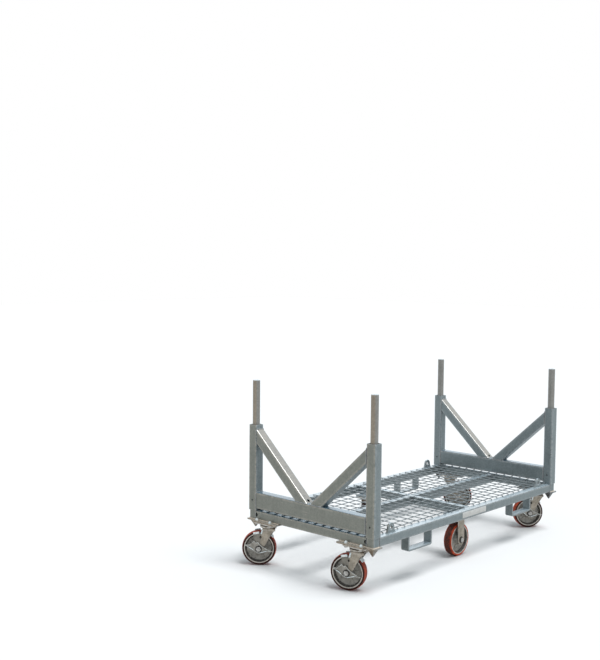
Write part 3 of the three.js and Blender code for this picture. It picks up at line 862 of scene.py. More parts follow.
@dataclass(frozen=True)
class WeldMetal:
    """Zinced weld beads: paler than the tubes, with dark pits."""

    slot: ClassVar[str] = "galvanised_steel"
    name: str = "weld_metal"
    colour: Colour = (0.200, 0.226, 0.234)
    pale: Colour = (0.388, 0.400, 0.412)

    def material(self) -> bpy.types.Material:
        """Builds the material from two sizes of noise."""
        shader = Shader(self.name)
        fine = shader.noise(520.0, 4.0)
        coarse = shader.noise(120.0, 3.0)
        tone = shader.mix(coarse.between(0.35, 0.65), self.colour, self.pale)
        tone = shader.mix(fine.between(0.55, 0.70) * 0.6, tone, grey(0.09))
        return shader.finish({
            "Base Color": tone,
            "Metallic": 0.55,
            "Roughness": (0.38 + fine * 0.3).clamp(),
            "Normal": shader.bump(fine + coarse, 0.35, 0.0010),
        })


@dataclass(frozen=True)
class BlankSign:
    """A plain pale plate, a little grubby and scuffed."""

    slot: ClassVar[str] = "blank_sign"
    name: str = "pale_sheet"
    colour: Colour = (0.640, 0.655, 0.660)

    def material(self) -> bpy.types.Material:
        """Builds the material: an even tone with faint grime and fine scratches."""
        shader = Shader(self.name)
        clouds = shader.noise(28.0, 5.0)
        scratch = shader.noise(300.0, 2.0, (0.05, 1.0, 1.0)).between(0.64, 0.70)
        tone = shader.mix(clouds.between(0.42, 0.72) * 0.4, self.colour, grey(0.42, 0.03))
        tone = shader.mix(scratch * 0.5, tone, grey(0.36))
        return shader.finish({
            "Base Color": tone,
            "Roughness": (0.34 + clouds * 0.25).clamp(),
            "Normal": shader.bump(clouds + scratch, 0.08, 0.0006),
        })


class Finish(Enum):
    """The finishes of the cart's pieces. Each kind names the record's slot that it belongs to."""

    GALVANISED = Galvanised()
    WIRE = Galvanised(
        "hot_dip_wire", (0.200, 0.230, 0.245), (0.420, 0.470, 0.495), grain=0.004, roughness=0.34
    )
    STAKE = Galvanised(
        "stake_zinc", (0.218, 0.216, 0.204), (0.400, 0.396, 0.376), (0.112, 0.110, 0.103)
    )
    # Painted warm light: a brown, lit copy of the zinc for the front corners' plates, with a warm
    # painted highlight on tops.
    FLAME_CUT = Galvanised(
        "flame_cut_zinc",
        colour=(0.160, 0.143, 0.118),
        pale=(0.295, 0.267, 0.222),
        dark=(0.080, 0.069, 0.055),
        rubbed=(0.740, 0.680, 0.600),
    )
    # Painted shade: a near-black, shaded copy of the zinc for the rear corners' plates, with a pale
    # painted highlight on tops.
    DULL_CUT = Galvanised(
        "dull_cut_zinc",
        colour=(0.040, 0.043, 0.045),
        pale=(0.078, 0.083, 0.085),
        dark=(0.022, 0.024, 0.025),
        rubbed=(0.700, 0.690, 0.660),
    )
    # Painted highlight: the braces' sloped upper faces are lightened to a warm grey.
    BRACE = Galvanised("brace_zinc", rubbed=(0.330, 0.318, 0.290), top_from=0.40, top_to=0.58)
    # Painted reflection: the deep rails' tops are lightened to a sky blue.
    BLUE_TOP = Galvanised("frame_rail_zinc", rubbed=(0.240, 0.410, 0.540))
    # Painted reflection: the end rails' tops, in shade under the deep rails, are lightened to a
    # strong sky blue.
    SHADED_TOP = Galvanised("end_rail_zinc", rubbed=(0.340, 0.620, 0.820))
    WELD = WeldMetal()
    # Painted warm highlight: pale tan weld metal for the beads on the corner plates' top edge.
    TAN_WELD = WeldMetal("tan_weld", (0.470, 0.410, 0.340), (0.740, 0.670, 0.580))
    PLATED = Plated()
    # Painted highlight: near-white zinc for tabs, strips and nuts that catch the light.
    BRIGHT = Bright()
    # Its pale edge colour is a painted highlight on the lever's flange, and lightens worn edges.
    PRESSED = Plated(
        "pressed_zinc_plate",
        colour=(0.225, 0.212, 0.188),
        pale=(0.420, 0.400, 0.360),
        stain=(0.060, 0.055, 0.047),
        edge=(0.760, 0.790, 0.790),
    )
    # Painted shade: a darker copy of the plated zinc for the fork's legs, behind the lighter
    # straps.
    LEGS = Plated(
        "leg_zinc_plate",
        colour=(0.148, 0.138, 0.120),
        pale=(0.275, 0.258, 0.226),
        stain=(0.050, 0.045, 0.038),
        edge=(0.720, 0.710, 0.690),
    )
    NUTS = Bright(
        "dull_nut_zinc",
        colour=(0.300, 0.295, 0.283),
        pale=(0.540, 0.530, 0.510),
        dark=(0.070, 0.066, 0.060),
        metallic=0.65,
    )
    DARK_STEEL = Plated(
        "dark_washer_steel",
        colour=(0.040, 0.038, 0.035),
        pale=(0.085, 0.082, 0.076),
        stain=(0.030, 0.027, 0.024),
        edge=(0.300, 0.290, 0.280),
    )
    IRON = CastIron()
    TREAD = Polyurethane()
    SIGN = BlankSign()

    @property
    def material(self) -> bpy.types.Material:
        """The finish's material, built the first time that it is asked for."""
        if self not in made:
            made[self] = self.value.material()
        return made[self]


made: dict[Finish, bpy.types.Material] = {}


def dress(piece: bpy.types.Object, finish: Finish, body: str, *nodes: str) -> bpy.types.Object:
    """Gives a piece its finish, its body and the CAD nodes that it stands for.

    Args:
        piece: the piece.
        finish: its finish.
        body: the CAD body that it rides on.
        nodes: the CAD nodes that it replaces.

    Returns:
        The piece.
    """
    piece.data.materials.clear()
    piece.data.materials.append(finish.material)
    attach(piece, body)
    if nodes:
        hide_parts(*nodes)
    log.info("%s: %d faces on %s", piece.name, len(piece.data.polygons), body)
    return piece


# Tubes and beads


@dataclass(frozen=True)
class Tube:
    """A hollow section of square or oblong tube."""

    width: float
    height: float
    wall: float
    corner: float
    lip: float = 0.8 * MM
    fade: float = 5.0 * MM
    steps: int = 4

    def outline(self, depth: float = 0.0) -> Outline:
        """The section's outline at a depth under its outer face."""
        radius = max(self.corner - depth, 1.0 * MM)
        width, height = self.width - 2 * depth, self.height - 2 * depth
        return oblong(width, height, radius, self.steps, self.fade)

    def wear(self, along: Sequence[float]) -> np.ndarray:
        """Wear of 1 round the corners, and what along gives for each row, whichever is more."""
        corner = np.tile([0.0, *[0.8] * (self.steps + 1), 0.0], 4)
        return np.maximum(np.asarray(along)[:, None], corner)

    def skin(self, start: Cut, stop: Cut) -> Skin:
        """The closed skin of a length of tube, inside and out, with small round lips.

        Args:
            start: gives the end's place along the tube for points of the section.
            stop: the same for the other end.

        Returns:
            Rows along the outside, over the end, back along the inside and over the first end,
            and each point's wear.
        """
        outer, inner = self.outline(), self.outline(self.wall)
        lip, fade = self.lip, self.fade
        outer_lip, inner_lip = inset(outer, lip), inset(inner, -lip)
        grid = rows(
            (outer, start(outer) + lip),
            (outer, start(outer) + fade),
            (outer, stop(outer) - fade),
            (outer, stop(outer) - lip),
            (outer_lip, stop(outer_lip)),
            (inner_lip, stop(inner_lip)),
            (inner, stop(inner) - lip),
            (inner, start(inner) + lip),
            (inner_lip, start(inner_lip)),
            (outer_lip, start(outer_lip)),
        )
        return grid, self.wear([1, 0, 0, 1, 1, 0.6, 0, 0, 0.6, 1])

    def straight(self, low: float, high: float) -> Skin:
        """The skin of a length cut square at both ends."""
        return self.skin(lambda outline: low, lambda outline: high)

    def piece(self, name: str, place: Place, low: float, high: float) -> bpy.types.Object:
        """A length cut square at both ends, as the piece of a CAD node."""
        grid, wear = self.straight(low, high)
        return Shell(f"{name}_tube").add(place(grid), True, wear).build()


@dataclass(frozen=True)
class Bead:
    """A weld bead: a small round section that swells and shrinks in ripples."""

    radius: float = 2.6 * MM
    ripple: float = 4.0 * MM
    sides: int = 6

    def along(self, shell: Shell, path: Grid, up: Sequence[float], closed: bool = False) -> None:
        """Lays a bead along a path.

        The section's radius is r * (1 + 0.16 sin(2 pi s / ripple) + 0.1 sin(0.37 s / mm)), where
        s is the way along the path.

        Args:
            shell: the shell that takes it.
            path: the path's points.
            up: a direction that the path never runs along.
            closed: whether the path comes back to its start.
        """
        fine = stepped(path, self.ripple / 3, closed)
        gone = np.arange(len(fine)) * self.ripple / 3
        ripples, drift = 2 * np.pi * gone / self.ripple, 0.37 * gone / MM
        swell = 1 + 0.16 * np.sin(ripples) + 0.1 * np.sin(drift)
        section = ring(self.radius, self.sides)[None] * swell[:, None, None]
        shell.add(swept(section, fine, up, closed), close_rows=closed, wear=0.5)


def line(*points: Sequence[float]) -> Grid:
    """A path through points."""
    return np.asarray(points, float)


# The cart


@dataclass(frozen=True)
class Levels:
    """Heights and places that several sub-assemblies share."""

    plate_bottom: float = 250 * MM
    rail_bottom: float = 258 * MM
    rail_top: float = 308 * MM
    mesh_bottom: float = 308 * MM
    bottom_rail: Pair = (322 * MM, 417 * MM)
    pin_hole: float = 368 * MM
    stub_top: float = 458 * MM
    post_top: float = 811 * MM
    stub_x: float = 930 * MM
    stub_y: float = 440 * MM

    @property
    def rail_middle(self) -> float:
        """The height of the base rails' middle."""
        return (self.rail_bottom + self.rail_top) / 2

    @property
    def bottom_rail_middle(self) -> float:
        """The height of an end frame's deep rail's middle."""
        return sum(self.bottom_rail) / 2


@dataclass(frozen=True)
class BaseFrame:
    """The rails of the base, the cross member and the two centre rails."""

    at: Levels = Levels()
    tube: Tube = Tube(50 * MM, 50 * MM, 3 * MM, 6 * MM)
    notch_radius: float = 11.5 * MM
    notch_drop: float = 23 * MM
    notch_inset: float = 4 * MM
    caster_plate: Pair = (135 * MM, 110 * MM)
    fixed_y: float = 340 * MM
    bead_past: float = 8 * MM
    bead_end: float = 235 * MM

    def side_rails(self) -> None:
        """The two long rails."""
        half = self.at.stub_x - self.tube.width / 2
        for side in Side:
            name = f"{side}_side_rail"
            place = lying_along_x(0, side.value * self.at.stub_y, self.at.rail_middle)
            piece = self.tube.piece(name, place, -half, half)
            dress(piece, Finish.GALVANISED, "base", name)

    def end_rails(self) -> None:
        """The two short rails, with a half-round vent notch at each end of the outer face."""
        half = self.at.stub_y - self.tube.width / 2
        for end in End:
            name = f"{end}_end_rail"
            x = end.value * self.at.stub_x
            place = lying_along_y(x, 0, self.at.rail_middle)
            piece = self.tube.piece(name, place, -half, half)
            notch = rod(self.notch_radius, 24, *span(end.value, 0.0, self.tube.width))
            level = self.at.rail_top - self.notch_drop
            tools = [
                lying_along_x(x, side.value * (half - self.notch_inset), level)(notch)
                for side in Side
            ]
            # The end rails' tops get a painted sky-blue reflection.
            dress(drill(piece, *tools), Finish.SHADED_TOP, "base", name)

    def centre(self) -> None:
        """The cross member, the centre rails that butt against it and the caster plates."""
        wide = self.at.stub_y - self.tube.width / 2
        far = self.at.stub_x - self.tube.width / 2
        shell = Shell("centre_frame_tubes")
        grid, wear = self.tube.straight(-wide, wide)
        shell.add(lying_along_y(0, 0, self.at.rail_middle)(grid), True, wear)
        for end in End:
            grid, wear = self.tube.straight(*span(end.value, self.tube.width / 2, far))
            shell.add(lying_along_x(0, 0, self.at.rail_middle)(grid), True, wear)
        outline = oblong(*self.caster_plate, 10 * MM, 5, 4 * MM)
        for side in Side:
            plate = slab(outline, self.at.plate_bottom, self.at.rail_bottom, 1 * MM)
            shell.add(standing(0, side.value * self.fixed_y, 0)(plate), wear=0.3)
        dress(shell.build(), Finish.GALVANISED, "base", "centre_frame")

    def welds(self) -> None:
        """Beads where the rails meet the stubs, the end rails and each other."""
        shell = Shell("base_welds")
        bead = Bead()
        at, half = self.at, self.tube.width / 2
        face = self.tube.height / 2 - self.tube.corner
        near_x, far_x = at.stub_x - half, at.stub_x + half
        near_y, far_y = at.stub_y - half, at.stub_y + half

        def upright(x: float, y: float) -> Grid:
            """A path up the flat part of a rail's face."""
            return line((x, y, at.rail_middle - face), (x, y, at.rail_middle + face))

        for corner in CORNERS:
            for y in (far_y, near_y):
                bead.along(shell, corner.mirror(upright(near_x, y)), X_AXIS)
            for x in (far_x, near_x):
                bead.along(shell, corner.mirror(upright(x, near_y)), Y_AXIS)
            low = at.rail_bottom
            flat = [
                line((near_x, at.stub_y - face, level), (near_x, at.stub_y + face, level))
                for level in (at.rail_top, low)
            ]
            flat.append(line((near_x - self.bead_past, far_y, low), (far_x, far_y, low)))
            flat.append(line((far_x, far_y, low), (far_x, self.bead_end, low)))
            for path in flat:
                bead.along(shell, corner.mirror(path), Z_AXIS)
        for end in End:
            for side in Side:
                for x in (half, near_x):
                    path = upright(end.value * x, side.value * half)
                    bead.along(shell, path, X_AXIS)
        dress(shell.build(), Finish.WELD, "base")

    def build(self) -> None:
        """Builds every piece of the base's rails."""
        self.side_rails()
        self.end_rails()
        self.centre()
        self.welds()


@dataclass(frozen=True)
class MeshDeck:
    """Two welded wire panels that meet on the cross member."""

    at: Levels = Levels()
    wire: float = 5 * MM
    sunk: float = 0.4 * MM
    long_pitch: float = 61 * MM
    long_count: int = 14
    cross_pitch: float = 65 * MM
    cross_first: float = 50 * MM
    cross_count: int = 14
    gap: float = 5 * MM
    reach_x: float = 949 * MM
    reach_y: float = 429 * MM
    sides: int = 10
    tip: float = 0.7 * MM
    fade: float = 6 * MM
    tack_beside: float = 3 * MM
    tack_past: float = 12 * MM
    tack_inset: float = 4 * MM
    tack_lift: float = 2 * MM

    TACK: ClassVar[Table] = ((3.6, -1), (3.4, 1.4), (2.4, 3.0), (0.9, 3.6))

    def long_places(self) -> list[float]:
        """The long wires' Y."""
        middle = (self.long_count - 1) / 2
        return [(row - middle) * self.long_pitch for row in range(self.long_count)]

    def cross_places(self, end: End) -> list[float]:
        """The X of one panel's cross wires."""
        steps = range(self.cross_count)
        return [end.value * (self.cross_first + step * self.cross_pitch) for step in steps]

    def bar(self, low: float, high: float) -> Skin:
        """One wire's skin with rounded ends, and its wear, high at the ends."""
        outline = ring(self.wire / 2, self.sides)
        end, tip, fade = outline * 0.7, self.tip, self.fade
        grid = rows(
            (end, low), (outline, low + tip), (outline, low + fade),
            (outline, high - fade), (outline, high - tip), (end, high),
        )
        return grid, np.array([1, 0.8, 0, 0, 0.8, 1.0])

    def panel(self, end: End) -> None:
        """One panel: long wires on the rails, cross wires on top of them."""
        shell = Shell(f"{end}_mesh_wires")
        low = self.at.mesh_bottom + self.wire / 2
        high = low + self.wire - self.sunk
        grid, wear = self.bar(*span(end.value, self.gap, self.reach_x))
        for y in self.long_places():
            shell.add(lying_along_x(0, y, low)(grid), wear=wear)
        grid, wear = self.bar(-self.reach_y, self.reach_y)
        for x in self.cross_places(end):
            shell.add(lying_along_y(x, 0, high)(grid), wear=wear)
        dress(shell.build(), Finish.WIRE, "base", f"{end}_mesh_panel")

    def tacks(self) -> None:
        """Small weld spots that hold the wires to the rails."""
        shell = Shell("mesh_tacks")
        dome = rows(*[(ring(radius * MM, 8), level * MM) for radius, level in self.TACK])
        top, beside = self.at.rail_top, self.tack_beside
        for end in End:
            x = end.value * (self.at.stub_x + self.tack_past)
            for y in self.long_places():
                shell.add(standing(x, y + beside, top)(dome), wear=0.6)
            for x in self.cross_places(end):
                for side in Side:
                    y = side.value * (self.reach_y - self.tack_inset)
                    place = standing(x + beside, y, top + self.tack_lift)
                    shell.add(place(dome), wear=0.6)
        dress(shell.build(), Finish.WELD, "base")

    def build(self) -> None:
        """Builds both panels and their weld spots."""
        for end in End:
            self.panel(end)
        self.tacks()


@dataclass(frozen=True)
class CornerFitting:
    """The stub that takes a post, with its plate and its stacking spike."""

    corner: Corner
    at: Levels = Levels()
    stub: Tube = Tube(50 * MM, 50 * MM, 3 * MM, 6 * MM)
    foot: float = 75 * MM
    caster_x: Pair = (875 * MM, 985 * MM)
    caster_y: float = 226 * MM
    spike_base: float = 48 * MM
    spike_tip: float = 6 * MM
    spike_bottom: float = 206 * MM
    hole: float = 11 * MM
    past: float = 60 * MM
    off: float = 0.5 * MM
    bead_short: float = 4 * MM
    bead: Bead = Bead(3 * MM)
    spike_bead: Bead = Bead(2.2 * MM)

    CURVES: ClassVar[tuple[float, ...]] = (10, 10, 7, 3, 9, 9, 3, 7)

    def plate(self) -> Outline:
        """The plate's outline at the rear left corner: the foot and the caster's part in one."""
        x, y, half = self.at.stub_x, self.at.stub_y, self.foot / 2
        near, far = self.caster_x
        inner = y - self.stub.width / 2
        step = inner + self.off
        corners = [
            (near, self.caster_y), (far, self.caster_y), (far, inner), (x + half, step),
            (x + half, y + half), (x - half, y + half), (x - half, step), (near, inner),
        ]
        return soften(corners, np.array(self.CURVES) * MM, 5)

    def build(self) -> None:
        """Builds the stub, drilled for the pin, and its plate and spike."""
        x, y = self.at.stub_x, self.at.stub_y
        name = f"{self.corner}_corner_stub"
        grid, wear = self.stub.straight(self.at.rail_bottom, self.at.stub_top)
        grid = self.corner.mirror(standing(x, y, 0)(grid))
        tube = Shell(f"{name}_tube").add(grid, True, wear).build()
        pin = rod(self.hole / 2, 20, *span(self.corner.end.value, x - self.past, x + self.past))
        drill(tube, lying_along_x(0, self.corner.side.value * y, self.at.pin_hole)(pin))
        dress(tube, Finish.GALVANISED, "base", name)
        shell = Shell(f"{name}_foot")
        plate = slab(self.plate(), self.at.plate_bottom, self.at.rail_bottom, 1.2 * MM)
        shell.add(self.corner.mirror(plate), wear=np.array([0.2, 0.7, 1, 1, 1, 1, 0.7, 0.2]))
        self.spike(shell)
        # Front plates are painted brown as warm light, rear plates near-black as shade.
        dress(shell.build(), self.finish, "base")
        self.beads()

    @property
    def finish(self) -> Finish:
        """The plate's finish: brown as painted warm light at the front end, dark as painted shade
        at the rear.
        """
        return Finish.FLAME_CUT if self.corner.end is End.FRONT else Finish.DULL_CUT

    def spike(self, shell: Shell) -> None:
        """Adds the four-sided stacking spike and the bead round its base."""
        place = standing(self.at.stub_x, self.at.stub_y, 0)
        base, tip, low = self.spike_base, self.spike_tip, self.at.plate_bottom
        square = oblong(1, 1, 0.09, 4)
        grid = rows(
            (square * base, low + 1 * MM),
            (square * base, low - self.off),
            (square * tip, self.spike_bottom + 1.2 * MM),
            (square * (tip * 0.55), self.spike_bottom),
        )
        shell.add(self.corner.mirror(place(grid)), wear=np.array([0.2, 0.2, 0.9, 1]))
        path = self.corner.mirror(place(level_path(square * (base + 1 * MM), low)))
        self.spike_bead.along(shell, path, Z_AXIS, True)

    def beads(self) -> None:
        """Pale tan beads as painted highlight: round the stub and along the end rail's lower edge.
        """
        x, y, half = self.at.stub_x, self.at.stub_y, self.stub.width / 2 + self.off
        welds = Shell(f"{self.corner}_foot_welds")
        level = self.at.rail_bottom + self.off
        start = self.caster_y + self.bead_short
        edge = line((x + half, start, level), (x + half, y - half, level))
        self.bead.along(welds, self.corner.mirror(edge), Z_AXIS)
        outline = inset(self.stub.outline(), -self.off)
        foot = standing(x, y, level)(level_path(outline, 0.0))
        self.bead.along(welds, self.corner.mirror(foot), Z_AXIS, True)
        # Pale tan beads: a painted warm highlight.
        dress(welds.build(), Finish.TAN_WELD, "base")


@dataclass(frozen=True)
class ForkPocket:
    """A flat bar bent to a U under the side rail."""

    corner: Corner
    at: Levels = Levels()
    middle: float = 540 * MM
    opening: float = 200 * MM
    drop: float = 70 * MM
    width: float = 50 * MM
    thickness: float = 10 * MM
    bend: float = 9 * MM
    outer_y: float = 25 * MM
    bead_from: float = 14 * MM
    bead_short: float = 4 * MM

    def build(self) -> None:
        """Carries the bar's section along the U and lays beads along its upper ends."""
        half = (self.opening + self.thickness) / 2
        low = self.at.rail_bottom - self.drop - self.thickness / 2
        bend, top = self.bend, self.at.rail_bottom + 0.5 * MM
        past, under = bend + 2 * MM, top - 6 * MM
        flat = np.vstack([
            [(-half, top), (-half, under), (-half, low + past)],
            arc((-half + bend, low + bend), bend, 0.5, 0.75, 8),
            [(-half + past, low), (half - past, low)],
            arc((half - bend, low + bend), bend, 0.75, 1.0, 8),
            [(half, low + past), (half, under), (half, top)],
        ])
        y = self.at.stub_y + self.outer_y - self.width / 2
        path = np.column_stack([flat[:, 0] + self.middle, np.full(len(flat), y), flat[:, 1]])
        bar = oblong(self.thickness, self.width, 1.6 * MM, 3, 3 * MM)
        grid = self.corner.mirror(swept(bar, path, Y_AXIS))
        wear = np.tile([0.0, *[0.9] * 4, 0.0], 4)
        name = f"{self.corner}_fork_pocket"
        shell = Shell(f"{name}_bar").add(grid, wear=np.broadcast_to(wear, grid.shape[:2]))
        start = y - self.width / 2 + self.bead_from
        stop = y + self.width / 2 - self.bead_short
        for sign in (-1, 1):
            for edge in (-1, 1):
                x = self.middle + sign * half + edge * self.thickness / 2
                run = line((x, start, self.at.rail_bottom), (x, stop, self.at.rail_bottom))
                Bead().along(shell, self.corner.mirror(run), Z_AXIS)
        dress(shell.build(), Finish.GALVANISED, "base", name)


@dataclass(frozen=True)
class LiftingLug:
    """A plate with a round top and an eye, welded upright on the side rail."""

    corner: Corner
    at: Levels = Levels()
    middle: float = 780 * MM
    base: float = 70 * MM
    top: float = 27 * MM
    eye: float = 28 * MM
    hole: float = 11.5 * MM
    thickness: float = 12 * MM
    edge: float = 2.2 * MM
    bead: Bead = Bead(3 * MM)

    WEAR: ClassVar[tuple[float, ...]] = (0, 0.6, 1, 1, 1, 1, 0.6, 0, 0.7, 1, 1, 0.7)

    def build(self) -> None:
        """Builds the plate with its eye and the bead round its foot."""
        outline = np.vstack([
            [(-self.base / 2, 0), (self.base / 2, 0)],
            arc((0, self.eye), self.top, 0, 0.5, 28),
        ])
        outline = respaced(outline, 96)
        hole = hole_in(outline, (0, self.eye), self.hole)
        half = self.thickness / 2
        grid = slab(outline, -half, half, self.edge, hole)
        place = lying_along_y(self.middle, self.at.stub_y, self.at.rail_top)
        name = f"{self.corner}_lifting_lug"
        shell = Shell(f"{name}_plate")
        shell.add(self.corner.mirror(place(grid)), True, np.array(self.WEAR))
        foot = oblong(self.base + 1 * MM, self.thickness + 1 * MM, 2 * MM, 3)
        path = standing(self.middle, self.at.stub_y, self.at.rail_top)(level_path(foot, 0.0))
        self.bead.along(shell, self.corner.mirror(path), Z_AXIS, True)
        dress(shell.build(), Finish.GALVANISED, "base", name)


@dataclass(frozen=True)
class SignPlate:
    """A thin blank plate on the right side rail."""

    length: float = 250 * MM
    height: float = 33 * MM
    middle: Point = (0.0, -465 * MM, 285.5 * MM)
    thickness: float = 1 * MM

    def build(self) -> None:
        """Builds the plate with round corners."""
        outline = oblong(self.length, self.height, 3 * MM, 4)
        grid = slab(outline, -self.thickness, 0, 0.3 * MM)
        piece = Shell("blank_sign_plate").add(lying_along_y(*self.middle)(grid)).build()
        dress(piece, Finish.SIGN, "base", "sign_plate")


@dataclass(frozen=True)
class EndFrame:
    """Two posts, a deep bottom rail and the two braces that make a V."""

    end: End
    at: Levels = Levels()
    post: Tube = Tube(60 * MM, 60 * MM, 4 * MM, 8 * MM)
    rail: Tube = Tube(60 * MM, 95 * MM, 4 * MM, 8 * MM)
    brace: Tube = Tube(60 * MM, 60 * MM, 4 * MM, 8 * MM)
    brace_foot: float = 10 * MM
    brace_top_drop: float = 25 * MM
    drain: float = 18 * MM
    drain_reach: float = 18 * MM
    hole: float = 11 * MM
    past: float = 50 * MM
    gap: float = 0.3 * MM
    brace_bead: Bead = Bead(3 * MM)
    rail_bead: Bead = Bead(2.8 * MM)

    @property
    def body(self) -> str:
        """The CAD body of this end's frame."""
        return f"{self.end}_end_frame"

    @property
    def rail_place(self) -> Place:
        """The deep rail's place."""
        return lying_along_y(self.end.value * self.at.stub_x, 0, self.at.bottom_rail_middle)

    def posts(self) -> None:
        """The two posts, open at the top, with a pin hole through each."""
        for side in Side:
            corner = Corner(self.end, side)
            x, y = self.end.value * self.at.stub_x, side.value * self.at.stub_y
            name = f"{corner}_post"
            low, high = self.at.rail_top + self.gap, self.at.post_top
            piece = self.post.piece(name, standing(x, y, 0), low, high)
            pin = rod(self.hole / 2, 24, x - self.past, x + self.past)
            drill(piece, lying_along_x(0, y, self.at.pin_hole)(pin))
            dress(piece, Finish.GALVANISED, self.body, name)

    def bottom(self) -> None:
        """The deep rail between the posts."""
        half = self.at.stub_y - self.post.width / 2
        name = f"{self.end}_bottom_rail"
        piece = self.rail.piece(name, self.rail_place, -half, half)
        # The deep rail's top gets a painted sky-blue reflection.
        dress(piece, Finish.BLUE_TOP, self.body, name)

    def slope(self, side: Side) -> tuple[Place, float, float]:
        """The brace's place, with its own Y down from its upper face, and its two ends' run.

        Args:
            side: the side that the brace leans to.

        Returns:
            The place, the run and the rise of the brace's upper edge.
        """
        run = self.at.stub_y - self.post.width / 2 - self.brace_foot
        rise = self.at.post_top - self.brace_top_drop - self.at.bottom_rail[1]
        length = math.hypot(run, rise)
        along = (0.0, side.value * run / length, rise / length)
        square = (0.0, -side.value * rise / length, run / length)
        x, y = self.end.value * self.at.stub_x, side.value * self.brace_foot
        foot = (x, y, self.at.bottom_rail[1])
        middle = tuple(f - s * self.brace.height / 2 for f, s in zip(foot, square))
        return Place(middle, X_AXIS, square, along), run, rise

    def braces(self) -> None:
        """The two braces, mitred to the bottom rail and the post, with a drain hole each."""
        half = self.brace.height / 2
        welds = Shell(f"{self.end}_frame_welds")
        for side in Side:
            corner = Corner(self.end, side)
            place, run, rise = self.slope(side)
            length = math.hypot(run, rise)

            def foot(outline: Outline) -> np.ndarray:
                """The way along at which points of the section meet the bottom rail's top."""
                return (half - outline[:, 1]) * run / rise

            def head(outline: Outline) -> np.ndarray:
                """The way along at which points of the section meet the post's inner face."""
                return length - (half - outline[:, 1]) * rise / run

            grid, wear = self.brace.skin(foot, head)
            piece = Shell(f"{corner}_brace_tube").add(place(grid), True, wear).build()
            drain = rod(self.drain / 2, 24, 0, half + 10 * MM)[..., [0, 2, 1]]
            drill(piece, place(drain + (0, 0, self.drain_reach)))
            # The brace's upper face gets a painted warm highlight.
            dress(piece, Finish.BRACE, self.body, f"{corner}_brace")
            outer = inset(self.brace.outline(), -self.gap)
            for cut in (foot, head):
                path = place(level_path(outer, cut(outer)))
                up = X_AXIS if cut is foot else (1, 0, 0.01)
                self.brace_bead.along(welds, path, up, True)
        self.rail_welds(welds)
        dress(welds.build(), Finish.WELD, self.body)

    def rail_welds(self, welds: Shell) -> None:
        """Beads round the bottom rail's two ends.

        Args:
            welds: the shell that takes them.
        """
        outline = inset(self.rail.outline(), -self.gap)
        half = self.at.stub_y - self.post.width / 2
        for side in Side:
            path = self.rail_place(level_path(outline, side.value * half))
            self.rail_bead.along(welds, path, Y_AXIS, True)

    def build(self) -> None:
        """Builds every piece of the end frame."""
        self.posts()
        self.bottom()
        self.braces()


@dataclass(frozen=True)
class Stake:
    """A round pipe that stands in the stub, closed at its domed top."""

    corner: Corner
    at: Levels = Levels()
    radius: float = 21.2 * MM
    wall: float = 3 * MM
    length: float = 815 * MM
    dome: float = 3 * MM
    edge: float = 5 * MM

    def build(self) -> None:
        """Turns the pipe's closed profile: out at the foot, up, over the dome and down inside."""
        top = self.at.rail_bottom + self.length
        radius, bore = self.radius, self.radius - self.wall
        shoulder = top - self.edge
        low, lip, axis = self.at.rail_bottom, 0.6 * MM, 0.05 * MM
        turn = np.linspace(0.25, 1, 9) * np.pi / 2
        dome = np.column_stack([
            radius * np.cos(turn) / math.cos(math.pi / 8),
            shoulder + (top - shoulder) * np.sin(turn),
        ])
        dome[-1, 0] = axis
        profile = np.vstack([
            [(bore, low), (radius - lip, low)],
            [(radius, low + lip), (radius, shoulder - 6 * MM), (radius, shoulder)],
            dome,
            [(axis, shoulder - self.wall), (bore, shoulder - self.wall)],
        ])
        wear = np.array([0, 0.5, 0.5, 0, 0.6, *np.linspace(1, 0.5, 9), 0, 0])
        name = f"{self.corner}_stake"
        grid = revolved(profile, 40)
        place = standing(self.at.stub_x, self.at.stub_y, 0)
        piece = Shell(f"{name}_pipe").add(self.corner.mirror(place(grid)), True, wear).build()
        dress(piece, Finish.STAKE, f"{name}_pipe", name)


# Casters, with the sizes that both kinds share


SHEET_WEAR = np.array([0.1, 0.6, 1, 1, 1, 1, 0.6, 0.1])
AXLE_BOLT = 9.4 * MM
AXLE_NUT = 30 * MM
AXLE_NUT_HEIGHT = 10 * MM
AXLE_WASHER = (20 * MM, 9 * MM)
WASHER_HEIGHT = 1.8 * MM
NUT_LIFT = 1.6 * MM


